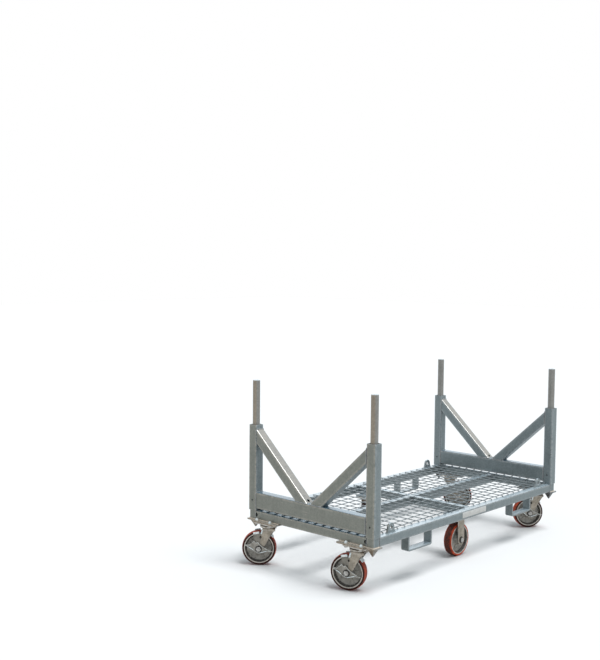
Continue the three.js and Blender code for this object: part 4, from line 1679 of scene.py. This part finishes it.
@dataclass(frozen=True)
class Wheel:
    """A cast wheel with a bonded tread, turning on the caster's axle."""

    name: str
    body: str
    place: Place
    dust: float = 0.3
    # How much darker the tyre's side walls and shoulders are made.
    grime: float = 2.0
    diameter: float = 200 * MM
    width: float = 50 * MM
    tread: float = 13 * MM
    hub: float = 29 * MM
    hub_side: float = 29 * MM
    web: float = 7 * MM
    bore: float = 9.8 * MM
    crown: float = 2.4 * MM
    shoulder: float = 4.5 * MM
    groove: float = 1.1 * MM
    ribs: int = 5
    rib_turn: float = 0.07

    def tyre(self) -> None:
        """The tread: a crowned band with round shoulders, dusty on top, dark at its sides."""
        seat = self.diameter / 2 - self.tread + 0.3 * MM
        outer, half = self.diameter / 2, self.width / 2
        crown, shoulder, groove = self.crown, self.shoulder, self.groove
        across = np.linspace(-1, 1, 13)
        face = np.column_stack([outer - crown * across**4, across * (half - shoulder)])
        centre = outer - crown - shoulder
        low = arc((centre, -half + shoulder), shoulder, -0.25, 0.0, 5)[:-1]
        high = arc((centre, half - shoulder), shoulder, 0.0, 0.25, 5)[1:]
        wall = np.array([
            (seat, 0), (seat + 3 * MM, 0), (seat + 4 * MM, groove), (seat + 5.2 * MM, groove),
            (seat + 6.2 * MM, 0),
        ])
        lower = wall + (0, -half)
        upper = wall[::-1] * (1, -1) + (0, half)
        profile = np.vstack([lower, low, face, high, upper])
        # Side walls and shoulders are darkened by this amount.
        fall = np.linspace(self.grime, self.grime * 0.35, len(low))
        sides = np.full(len(wall), self.grime)
        dusty = self.dust * (1 - 0.7 * across**6)
        worn = np.concatenate([sides, fall, dusty, fall[::-1], sides])
        grid = self.place(revolved(profile, 112))
        piece = Shell(f"{self.name}_tread").add(grid, True, worn).build()
        dress(piece, Finish.TREAD, self.body, f"{self.name}_tyre")

    def rib(self, turn: float, side: int) -> Grid:
        """A low rib on the web, from the hub to the rim, tapering outwards.

        Args:
            turn: its direction, in turns.
            side: 1 or -1, the side of the web.

        Returns:
            Rows from the hub to the rim.
        """
        section = oblong(1, 1, 0.25, 2)
        spans = [
            (self.hub - 2 * MM, 8 * MM, 12 * MM),
            (48 * MM, 5.5 * MM, 7 * MM),
            (75 * MM, 5 * MM, 6 * MM),
        ]
        grid = np.stack([
            np.column_stack([
                np.full(len(section), away),
                section[:, 0] * wide,
                side * self.web + section[:, 1] * high,
            ])
            for away, wide, high in spans
        ])
        c, s = math.cos(turn * 2 * math.pi), math.sin(turn * 2 * math.pi)
        return grid @ np.array([(c, s, 0), (-s, c, 0), Z_AXIS])

    def core(self) -> None:
        """The casting: hub, dished web, ribs and a rim whose edge is turned bright."""
        rim, half = self.diameter / 2 - self.tread, self.width / 2
        bore, web, hub, side = self.bore, self.web, self.hub, self.hub_side
        corners = [
            (bore, -side), (hub - 7 * MM, -side), (hub, -side + 3 * MM), (hub + 6 * MM, -web),
            (rim - 17 * MM, -web + 1 * MM), (rim - 12 * MM, -web), (rim - 6.5 * MM, -half + 4 * MM),
            (rim - 5 * MM, -half), (rim, -half),
        ]
        corners += [(away, -level) for away, level in reversed(corners)]
        radii = np.array([0.3, 1, 1.4, 6, 3, 3, 1.4, 0.6, 0.5]) * MM
        profile = soften(corners, np.concatenate([radii, radii[::-1]]), 3)
        # Wear 0 marks the rim's recess, which the cast-iron finish darkens as painted shade.
        turned = np.array([0.9, 0.9, 0.3, 0.3, 0.3, 0, 0, 1, 1])
        turned = np.repeat(np.concatenate([turned, turned[::-1]]), 4)
        shell = Shell(f"{self.name}_casting").add(self.place(revolved(profile, 96)), True, turned)
        for number in range(self.ribs):
            for face in (-1, 1):
                grid = self.rib(number / self.ribs + self.rib_turn, face)
                shell.add(self.place(grid), wear=0.3)
        dress(shell.build(), Finish.IRON, self.body, f"{self.name}_wheel_core")

    def build(self) -> None:
        """Builds the tread and the casting."""
        self.tyre()
        self.core()


def nut(size: float, low: float, high: float) -> Grid:
    """A hexagon with round corners and bevelled faces, size across its corners."""
    outline = soften(ring(size / 2, 6), 1.2 * MM, 3)
    face, bevel = outline * 0.86, 1.4 * MM
    return rows((face, low), (outline, low + bevel), (outline, high - bevel), (face, high))


def washer(outer: float, inner: float, low: float, high: float) -> Grid:
    """A flat ring with round edges."""
    outline = ring(outer, 36)
    return slab(outline, low, high, 0.5 * MM, hole_in(outline, (0, 0), inner))


def softened(points: object, curves: Sequence[float], steps: int) -> Outline:
    """An outline from corners and the reach of their curves, all in millimetres."""
    return soften(np.asarray(points, float) * MM, np.asarray(curves, float) * MM, steps)


@dataclass(frozen=True)
class TopPlate:
    """The plate that bolts a caster to the cart, with its four bolts."""

    width: float = 110 * MM
    length: float = 135 * MM
    low: float = 243 * MM
    high: float = 250 * MM
    corner: float = 10 * MM
    spacing: Pair = (80 * MM, 105 * MM)
    bolt: float = 19 * MM
    bolt_height: float = 8 * MM
    washer: Pair = (11.5 * MM, 5 * MM)
    nut_height: float = 9 * MM
    thread: float = 5 * MM
    thread_height: float = 12 * MM

    def plate(self, shell: Shell, place: Place) -> None:
        """Adds the plate with round corners and edges."""
        outline = oblong(self.width, self.length, self.corner, 6)
        shell.add(place(slab(outline, self.low, self.high, 1.4 * MM)), wear=SHEET_WEAR)

    def hole(self, x: int, y: int) -> Grid:
        """The place of one bolt, by the signs of its X and Y."""
        return np.array([x * self.spacing[0] / 2, y * self.spacing[1] / 2, 0])

    def bolts(self, shell: Shell, place: Place) -> None:
        """Adds the bolt heads with their washers, under the plate."""
        head = nut(self.bolt, self.low - self.bolt_height, self.low - 1.2 * MM)
        under = washer(*self.washer, self.low - NUT_LIFT, self.low)
        for x in (-1, 1):
            for y in (-1, 1):
                at = self.hole(x, y)
                shell.add(place(head + at), wear=0.6)
                shell.add(place(under + at), True, 0.3)

    def nuts(self, shell: Shell, place: Place, outward: int, low: float) -> None:
        """Adds the nuts and the bolts' ends of the two outer bolts, over the corner's plate.

        Args:
            shell: the shell that takes them.
            place: the plate's place.
            outward: 1 where the cart's end is towards +X, otherwise -1.
            low: the level that they stand on.
        """
        for y in (-1, 1):
            at = self.hole(outward, y)
            shell.add(place(nut(self.bolt, low, low + self.nut_height) + at), wear=0.6)
            thread = rod(self.thread, 20, low, low + self.thread_height, 0.8 * MM)
            shell.add(place(thread + at), wear=0.6)


@dataclass(frozen=True)
class SwivelCaster:
    """A swivel caster with its brake lever, hung under one corner."""

    corner: Corner
    wheel_at: Point
    pivot: Pair
    axle: Point
    plate: TopPlate = TopPlate()
    trail: float = 50 * MM
    axle_height: float = 100 * MM
    crown: Pair = (216 * MM, 222 * MM)
    crown_x: Pair = (-46 * MM, 30 * MM)
    leg: Pair = (31 * MM, 36 * MM)
    lever_reach: float = 84 * MM
    lever_at: Pair = (36.3 * MM, 41.3 * MM)
    tail: Pair = (32 * MM, 80 * MM)
    strap: float = 1.6 * MM
    foot: float = 27 * MM
    strap_foot: float = 25 * MM
    kingpin: float = 9.8 * MM
    kingpin_run: Pair = (214 * MM, 236 * MM)
    king_nut: float = 32 * MM
    king_nut_run: Pair = (209.7 * MM, 215.7 * MM)
    leg_hole: float = 6.5 * MM
    leg_hole_at: Pair = (-11 * MM, 168 * MM)
    rod_radius: float = 2.6 * MM
    rod_half: float = 31.5 * MM
    rod_at: Pair = (-11 * MM, 184 * MM)
    scraper: float = 103.5 * MM
    crown_bend: float = 7 * MM
    crown_drop: float = 14 * MM
    shoulder_drop: float = 8 * MM
    tail_low: Pair = (78 * MM, 137 * MM)
    tab_from: Pair = (47 * MM, 196 * MM)
    tab_y: float = 39 * MM
    lip_y: float = 36.6 * MM
    lever_hole: float = 10.2 * MM
    lever_sheet: float = 1 * MM
    flange_low: float = 4.2 * MM
    flange_rise: float = 3.2 * MM

    UPPER_RACE: ClassVar[Table] = ((9, 233.2), (39, 233.2), (42, 237), (38, 243.5), (9, 243.5))
    LOWER_RACE: ClassVar[Table] = (
        (11.5, 221), (43, 221), (46, 224), (46, 232.6), (42.5, 232.6), (41, 229), (11.5, 229),
    )
    LEG_NOTCH: ClassVar[Table] = ((44, 187), (35, 195), (31, 204), (30, 214))
    STRAP_BACK: ClassVar[Table] = ((-20, 188), (-2, 150), (14, 116))
    STRAP_FRONT: ClassVar[Table] = ((46, 122), (41, 142), (38, 162), (34, 186), (29, 214))
    STRAP_LIP: ClassVar[Table] = ((28, 213), (32, 200), (35, 187))
    LEVER: ClassVar[Table] = (
        (0.96, 0.28), (0.63, 0.28), (0.30, 0.58), (0.19, 0.42), (0.05, 0.49),
        (-0.14, 0.27), (-0.32, 0.15), (-0.63, -0.01), (-0.99, -0.15), (-0.58, -0.14),
        (-0.14, -0.27), (0.04, -0.28), (0.32, -0.13), (0.47, 0.0), (0.77, 0.16),
    )
    # Paths of near-white strips on two lower edges of the lever: painted highlights.
    LEVER_LIPS: ClassVar[tuple[Table, ...]] = (
        ((0.35, -0.08), (0.47, 0.02), (0.70, 0.14)),
        ((-0.08, -0.26), (-0.30, -0.20), (-0.56, -0.12)),
    )
    LEVER_WEAR: ClassVar[tuple[float, ...]] = (0, 0, 0.8, 1, 1, 0.8, 0, 0, 0, 0.3, 0.3, 0)

    @property
    def shoulder(self) -> Pair:
        """Where a leg's back edge meets the crown, from the side."""
        return self.crown_x[0], self.crown[1] - self.shoulder_drop

    @property
    def axle_at(self) -> Grid:
        """The axle's place, seen from the side."""
        return np.array([self.trail, self.axle_height, 0])

    @property
    def across(self) -> Point:
        """The way that the wheel trails, square to the axle."""
        x, y, _ = self.axle
        return (y, -x, 0.0)

    @property
    def side_on(self) -> Place:
        """The place of pieces drawn from the side, X along the trail from the swivel's axis."""
        return Place((*self.pivot, 0.0), self.across, Z_AXIS, self.axle)

    @property
    def from_above(self) -> Place:
        """The place of pieces drawn from above, X along the trail from the swivel's axis."""
        return Place((*self.pivot, 0.0), self.across, self.axle, Z_AXIS)

    def fixed_part(self) -> None:
        """The bolted plate with the upper race and the kingpin's nut."""
        name = f"{self.corner}_caster_plate"
        place = standing(*self.pivot, 0)
        shell = Shell(f"{name}_pressing")
        self.plate.plate(shell, place)
        race = softened(self.UPPER_RACE, (0.5, 1.5, 2, 1, 0.5), 4)
        shell.add(place(revolved(race, 56)), True, 0.4)
        shell.add(place(rod(self.kingpin, 24, *self.kingpin_run, 0.6 * MM)), wear=0.5)
        dress(shell.build(), Finish.PLATED, "base", name)
        bolts = Shell(f"{self.corner}_plate_bolts")
        self.plate.bolts(bolts, place)
        bolts.add(place(nut(self.king_nut, *self.king_nut_run)), wear=0.4)
        dress(bolts.build(), Finish.NUTS, "base")
        # The nuts over the corner's plate are near-white, a painted highlight.
        nuts = Shell(f"{self.corner}_plate_nuts")
        self.plate.nuts(nuts, place, self.corner.end.value, Levels().rail_bottom + 0.2 * MM)
        dress(nuts.build(), Finish.BRIGHT, "base")

    def leg_outline(self) -> Outline:
        """A leg from the side: wide under the crown, a round foot, a tail and an arched notch."""
        foot = arc((self.trail, self.axle_height), self.foot, 0.43, 1.02, 12)
        back, rise = self.tail
        corners = np.vstack([
            [self.shoulder],
            foot,
            [self.tail_low, (self.trail + back, self.axle_height + rise + 4 * MM)],
            np.array(self.LEG_NOTCH) * MM,
        ])
        reach = np.array([5, *[2.6] * len(foot), 6, 4, 2.5, 2.5, 2.5, 3]) * MM
        return soften(corners, reach, 3)

    def strap_outline(self) -> Outline:
        """The pressed-out front of a leg: a slanted bar from the crown to the axle's boss."""
        foot = arc((self.trail, self.axle_height), self.strap_foot, 0.43, 1.0, 12)
        corners = np.vstack([
            [self.shoulder],
            np.array(self.STRAP_BACK) * MM,
            foot,
            np.array(self.STRAP_FRONT) * MM,
        ])
        reach = np.array([5, 12, 12, 4, *[2.0] * len(foot), 5, 6, 6, 8, 3]) * MM
        return soften(corners, reach, 3)

    def crown_sheet(self) -> Grid:
        """The crown, bent down at both sides: an oblong section carried over the bends."""
        middle = (self.crown[1] - self.crown[0]) / 2
        outer = (self.leg[0] + self.leg[1]) / 2
        bend, top = self.crown_bend, self.crown[1] - middle
        low, under = top - self.crown_drop, top - bend - 1 * MM
        flat = np.vstack([
            [(-outer, low), (-outer, under)],
            arc((-outer + bend, top - bend), bend, 0.5, 0.25, 7),
            arc((outer - bend, top - bend), bend, 0.25, 0.0, 7),
            [(outer, under), (outer, low)],
        ])
        centre = sum(self.crown_x) / 2
        path = np.column_stack([np.full(len(flat), centre), flat])
        thickness, width = 2 * middle - 0.6 * MM, self.crown_x[1] - self.crown_x[0]
        return swept(oblong(thickness, width, 1.4 * MM, 3), path, X_AXIS)

    def fork(self) -> None:
        """The fork: crown, lower race, and two legs with their straps, a hole through each."""
        name = f"{self.corner}_swivel_fork"
        shell = Shell(f"{name}_pressing")
        shell.add(self.from_above(self.crown_sheet()), wear=0.35)
        race = softened(self.LOWER_RACE, (0.5, 2, 2, 1, 1, 1, 0.5), 4)
        shell.add(self.from_above(revolved(race, 64)), True, 0.7)
        dress(shell.build(), Finish.PLATED, f"{self.corner}_fork", name)
        legs, straps = Shell(f"{name}_legs"), Shell(f"{name}_straps")
        near, far = self.leg
        for side in (-1, 1):
            leg = slab(self.leg_outline(), *span(side, near, far - self.strap), 1.0 * MM)
            legs.add(self.side_on(leg), wear=SHEET_WEAR * 0.5)
            bar = slab(self.strap_outline(), *span(side, near + self.strap / 2, far), 1.2 * MM)
            straps.add(self.side_on(bar), wear=SHEET_WEAR)
        along, level = self.leg_hole_at
        hole = rod(self.leg_hole, 24, -60 * MM, 60 * MM) + (self.trail + along, level, 0)
        # The legs take the darker plated copy as painted shade; the straps keep the plain plated
        # zinc.
        for built, finish in ((legs, Finish.LEGS), (straps, Finish.PLATED)):
            dress(drill(built.build(), self.side_on(hole)), finish, f"{self.corner}_fork")

    def tabs(self) -> None:
        """Bright bent pieces on the fork: the tail's tabs, the straps' lips and a tread scraper."""
        shell = Shell(f"{self.corner}_fork_trim")
        back, rise = self.tail
        start = np.array(self.tab_from)
        stop = np.array([self.trail + back - 1 * MM, self.axle_height + rise + 10 * MM])
        tail = np.array([start, (start + stop) / 2, stop])
        flag, edge = oblong(8 * MM, 12 * MM, 2 * MM, 3), oblong(3 * MM, 9 * MM, 1.2 * MM, 3)
        for side in (-1, 1):
            path = level_path(tail, side * self.tab_y)
            shell.add(self.side_on(swept(flag, path, Y_AXIS)), wear=0.8)
            path = level_path(np.array(self.STRAP_LIP) * MM, side * self.lip_y)
            shell.add(self.side_on(swept(edge, path, X_AXIS)), wear=0.8)
        curve = arc((self.trail, self.axle_height), self.scraper, 0.350, 0.397, 8)
        pad = swept(oblong(40 * MM, 3.4 * MM, 1.2 * MM, 3), level_path(curve, 0.0), (-1, 1, 0))
        shell.add(self.side_on(pad), wear=0.8)
        # These pieces are near-white, as painted highlights.
        dress(shell.build(), Finish.BRIGHT, f"{self.corner}_fork")
        bar = rod(self.rod_radius, 20, -self.rod_half, self.rod_half, 0.4 * MM) + (*self.rod_at, 0)
        piece = Shell(f"{self.corner}_scraper_rod").add(self.side_on(bar), wear=0.1).build()
        dress(piece, Finish.PRESSED, f"{self.corner}_fork")

    def axle_bolt(self) -> None:
        """The axle's bolt head, and its nut and dark washer over the lever."""
        shell = Shell(f"{self.corner}_axle_bolt")
        low = self.lever_at[1] + 0.3 * MM
        high = low + AXLE_NUT_HEIGHT
        head = self.leg[1] + AXLE_NUT_HEIGHT
        for turned in (
            nut(AXLE_NUT, -head, -self.leg[1]),
            nut(AXLE_NUT, low + NUT_LIFT, high),
            rod(AXLE_BOLT, 24, -head + 2 * MM, high + 1.5 * MM, 1.2 * MM),
        ):
            shell.add(self.side_on(turned + self.axle_at), wear=0.5)
        dress(shell.build(), Finish.NUTS, f"{self.corner}_fork")
        under = Shell(f"{self.corner}_axle_washer")
        flat = washer(*AXLE_WASHER, low, low + WASHER_HEIGHT)
        under.add(self.side_on(flat + self.axle_at), True)
        dress(under.build(), Finish.DARK_STEEL, f"{self.corner}_fork")

    def lever(self) -> None:
        """The brake lever: a flat rocker with a flange that stands outwards all round."""
        corners = np.array(self.LEVER) * self.lever_reach
        outline = respaced(soften(corners, 3 * MM, 4), 144)
        low, high = self.lever_at
        face, at = high - self.lever_sheet, self.axle_at
        hole = hole_in(outline, (0, 0), self.lever_hole)
        name = f"{self.corner}_brake_lever"
        shell = Shell(f"{name}_pressing")
        plate = slab(outline, low, face, self.lever_sheet, hole)
        shell.add(self.side_on(plate + at), True, np.array(self.LEVER_WEAR))
        # The flange has wear 1 all round, so it takes the pale edge colour: a painted highlight
        # along it, partly worn edge.
        rim = inset(outline, 1.2 * MM)
        away = np.clip(np.abs(rim[:, 0]) / self.lever_reach, 0, 1)
        tall = self.flange_low + self.flange_rise * away
        section = oblong(3 * MM, 1, 0.3 * MM, 2)
        section = section[None] * np.stack([np.ones(len(rim)), tall], 1)[:, None]
        path = np.column_stack([rim, face + tall / 2 - 0.5 * MM])
        shell.add(self.side_on(swept(section, path, Z_AXIS, True) + at), True, 1.0)
        dress(shell.build(), Finish.PRESSED, f"{self.corner}_brake", name)
        # Near-white strips along two of the lever's lower edges: painted highlights.
        lips = Shell(f"{name}_lips")
        for run in self.LEVER_LIPS:
            path = level_path(np.array(run) * self.lever_reach, high + 2.4 * MM)
            lip = swept(oblong(4 * MM, 5 * MM, 1 * MM, 3), path, Z_AXIS)
            lips.add(self.side_on(lip + at), wear=1.0)
        dress(lips.build(), Finish.BRIGHT, f"{self.corner}_brake")

    def build(self) -> None:
        """Builds the whole caster."""
        self.fixed_part()
        self.fork()
        self.tabs()
        self.axle_bolt()
        self.lever()
        place = Place(self.wheel_at, self.across, Z_AXIS, self.axle)
        Wheel(str(self.corner), f"{self.corner}_wheel", place).build()


@dataclass(frozen=True)
class FixedCaster:
    """A caster with straight legs under the middle of a side."""

    side: Side
    middle: float = 340 * MM
    axle_height: float = 100 * MM
    leg_width: float = 64 * MM
    leg: Pair = (31 * MM, 36 * MM)
    flare: float = 9 * MM
    flare_drop: float = 14 * MM
    bolt_run: Pair = (-44 * MM, 47 * MM)
    bead: Bead = Bead(2.4 * MM)
    plate: TopPlate = TopPlate(width=135 * MM, length=110 * MM, spacing=(105 * MM, 80 * MM))

    def build(self) -> None:
        """Builds the bracket, its bolts, its axle and the wheel."""
        name = f"middle_{self.side}"
        y = self.side.value * self.middle
        shell = Shell(f"{name}_bracket_pressing")
        self.plate.plate(shell, standing(0, y, 0))
        half, low = self.leg_width / 2, self.plate.low
        wide, under, top = half + self.flare, low - self.flare_drop, low + 1 * MM
        corners = np.vstack([
            arc((0, self.axle_height), half, 0.5, 1.0, 12),
            [(half, under), (wide, top), (-wide, top), (-half, under)],
        ])
        outline = soften(corners, [*[2.6 * MM] * 13, 5 * MM, 1 * MM, 1 * MM, 5 * MM], 3)
        place = lying_along_y(0, y, 0)
        near, far = self.leg
        for side in (-1, 1):
            shell.add(place(slab(outline, *span(side, near, far), 1.2 * MM)), wear=SHEET_WEAR)
            foot = y + side * far
            self.bead.along(shell, line((-half, foot, low), (half, foot, low)), Z_AXIS)
        dress(shell.build(), Finish.PLATED, "base", f"{name}_fixed_bracket")
        trim, under = Shell(f"{name}_bracket_bolts"), Shell(f"{name}_bracket_washers")
        self.plate.bolts(trim, standing(0, y, 0))
        place = lying_along_y(0, y, self.axle_height)
        for side in (-1, 1):
            faces = span(side, far + NUT_LIFT, far + AXLE_NUT_HEIGHT)
            trim.add(place(nut(AXLE_NUT, *faces)), wear=0.5)
            faces = span(side, far, far + WASHER_HEIGHT)
            under.add(place(washer(*AXLE_WASHER, *faces)), True)
        dress(under.build(), Finish.DARK_STEEL, "base")
        trim.add(place(rod(AXLE_BOLT, 24, *self.bolt_run, 1.2 * MM)), wear=0.5)
        dress(trim.build(), Finish.NUTS, "base")
        Wheel(name, f"{name}_wheel", place, dust=1.25, grime=0.0).build()


# The studio


@dataclass(frozen=True)
class Studio:
    """A pale floor, a soft sky and one sun, and the camera where the photograph was taken from."""

    azimuth: float = -47.2
    elevation: float = 3.9
    roll: float = 0.5
    shift: Point = (-0.6964, 0.9421, 6.3135)
    aim: float = 0.4
    focal: float = 1010.9
    frame_height: int = 660
    sensor: float = 36.0
    floor_colour: Colour = (0.82, 0.82, 0.82)
    floor_bounce: Colour = (0.50, 0.46, 0.40)
    sky_colour: Colour = (0.86, 0.95, 1.0)
    sky: float = 0.50
    key: float = 2.7
    key_spread: float = 30.0
    key_colour: Colour = (0.98, 0.99, 1.0)
    key_towards: Point = (-0.10, 0.34, -1.0)
    floor_half: float = 30.0

    def camera(self) -> None:
        """Stands the camera at its distance, moved to the side and up in its own axes."""
        a, e, r = (math.radians(v) for v in (self.azimuth, self.elevation, self.roll))
        back = np.array([math.sin(a) * math.cos(e), -math.cos(a) * math.cos(e), math.sin(e)])
        right = np.cross(-back, Z_AXIS)
        right /= np.linalg.norm(right)
        up = np.cross(right, -back)
        right, up = math.cos(r) * right + math.sin(r) * up, -math.sin(r) * right + math.cos(r) * up
        across, rise, away = self.shift
        place = np.array([0, 0, self.aim]) + back * away + right * across + up * rise
        data = bpy.data.cameras.new("camera")
        data.sensor_width = self.sensor
        data.lens = self.focal * self.sensor / self.frame_height
        camera = bpy.data.objects.new("camera", data)
        turn = Matrix([right, up, back]).transposed().to_4x4()
        camera.matrix_world = Matrix.Translation(Vector(place)) @ turn
        bpy.context.scene.collection.objects.link(camera)
        bpy.context.scene.camera = camera

    def floor(self) -> None:
        """A wide pale floor, white to the camera and in metal, that throws back a softer light."""
        shader = Shader("studio_floor")
        path = shader.node("ShaderNodeLightPath")
        camera, glossy, through = (
            Value(shader, path.outputs[f"Is {kind} Ray"])
            for kind in ("Camera", "Glossy", "Transmission")
        )
        seen = (camera + glossy + through).clamp()
        tone = shader.mix(seen, self.floor_bounce, self.floor_colour)
        shader.finish({"Base Color": tone, "Roughness": 0.9})
        half = self.floor_half
        corners = [(-half, -half, 0), (half, -half, 0), (half, half, 0), (-half, half, 0)]
        mesh = bpy.data.meshes.new("floor")
        mesh.from_pydata(corners, [], [(0, 1, 2, 3)])
        mesh.materials.append(shader.material)
        floor = bpy.data.objects.new("floor", mesh)
        bpy.context.scene.collection.objects.link(floor)

    def world(self) -> None:
        """An even sky that lights softly and shows white to the camera."""
        world = bpy.data.worlds.new("studio")
        world.use_nodes = True
        tree = world.node_tree
        tree.nodes.clear()
        path = tree.nodes.new("ShaderNodeLightPath")
        light = tree.nodes.new("ShaderNodeBackground")
        light.inputs["Color"].default_value = (*self.sky_colour, 1.0)
        light.inputs["Strength"].default_value = self.sky
        seen = tree.nodes.new("ShaderNodeBackground")
        seen.inputs["Color"].default_value = (1.0, 1.0, 1.0, 1.0)
        mix = tree.nodes.new("ShaderNodeMixShader")
        out = tree.nodes.new("ShaderNodeOutputWorld")
        shown = path.outputs["Is Camera Ray"]
        for kind in ("Is Glossy Ray", "Is Transmission Ray"):
            either = tree.nodes.new("ShaderNodeMath")
            either.operation = "MAXIMUM"
            tree.links.new(shown, either.inputs[0])
            tree.links.new(path.outputs[kind], either.inputs[1])
            shown = either.outputs[0]
        tree.links.new(shown, mix.inputs[0])
        tree.links.new(light.outputs[0], mix.inputs[1])
        tree.links.new(seen.outputs[0], mix.inputs[2])
        tree.links.new(mix.outputs[0], out.inputs[0])
        bpy.context.scene.world = world

    def sun(self) -> None:
        """One soft sun from high above, a little to the right side and the rear."""
        data = bpy.data.lights.new("key", "SUN")
        data.energy = self.key
        data.angle = math.radians(self.key_spread)
        data.color = self.key_colour
        lamp = bpy.data.objects.new("key", data)
        lamp.rotation_mode = "QUATERNION"
        lamp.rotation_quaternion = Vector(self.key_towards).to_track_quat("-Z", "Y")
        bpy.context.scene.collection.objects.link(lamp)

    def build(self) -> None:
        """Sets up the whole studio."""
        self.camera()
        self.floor()
        self.world()
        self.sun()
        bpy.context.scene.view_settings.view_transform = "Standard"


def joint(name: str) -> dict[str, object]:
    """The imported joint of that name."""
    return next(entry for entry in frame["joints"] if entry["name"] == name)


def swivel_caster(corner: Corner) -> SwivelCaster:
    """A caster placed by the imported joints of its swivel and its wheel."""
    pivot = joint(f"{corner}_swivel")["pos_m"][:2]
    spin = joint(f"{corner}_wheel_spin")
    return SwivelCaster(corner, tuple(spin["pos_m"]), tuple(pivot), tuple(spin["axis"]))


def main() -> None:
    """Builds the cart's pieces in order, then the studio."""
    logging.basicConfig(level=logging.INFO, format="%(message)s")
    assemblies = [BaseFrame(), MeshDeck(), SignPlate()]
    assemblies += [EndFrame(end) for end in End]
    for corner in CORNERS:
        assemblies += [CornerFitting(corner), ForkPocket(corner), LiftingLug(corner), Stake(corner)]
        assemblies.append(swivel_caster(corner))
    assemblies += [FixedCaster(side) for side in Side]
    for assembly in assemblies:
        assembly.build()
    Studio().build()


if __name__ == "__main__":
    main()
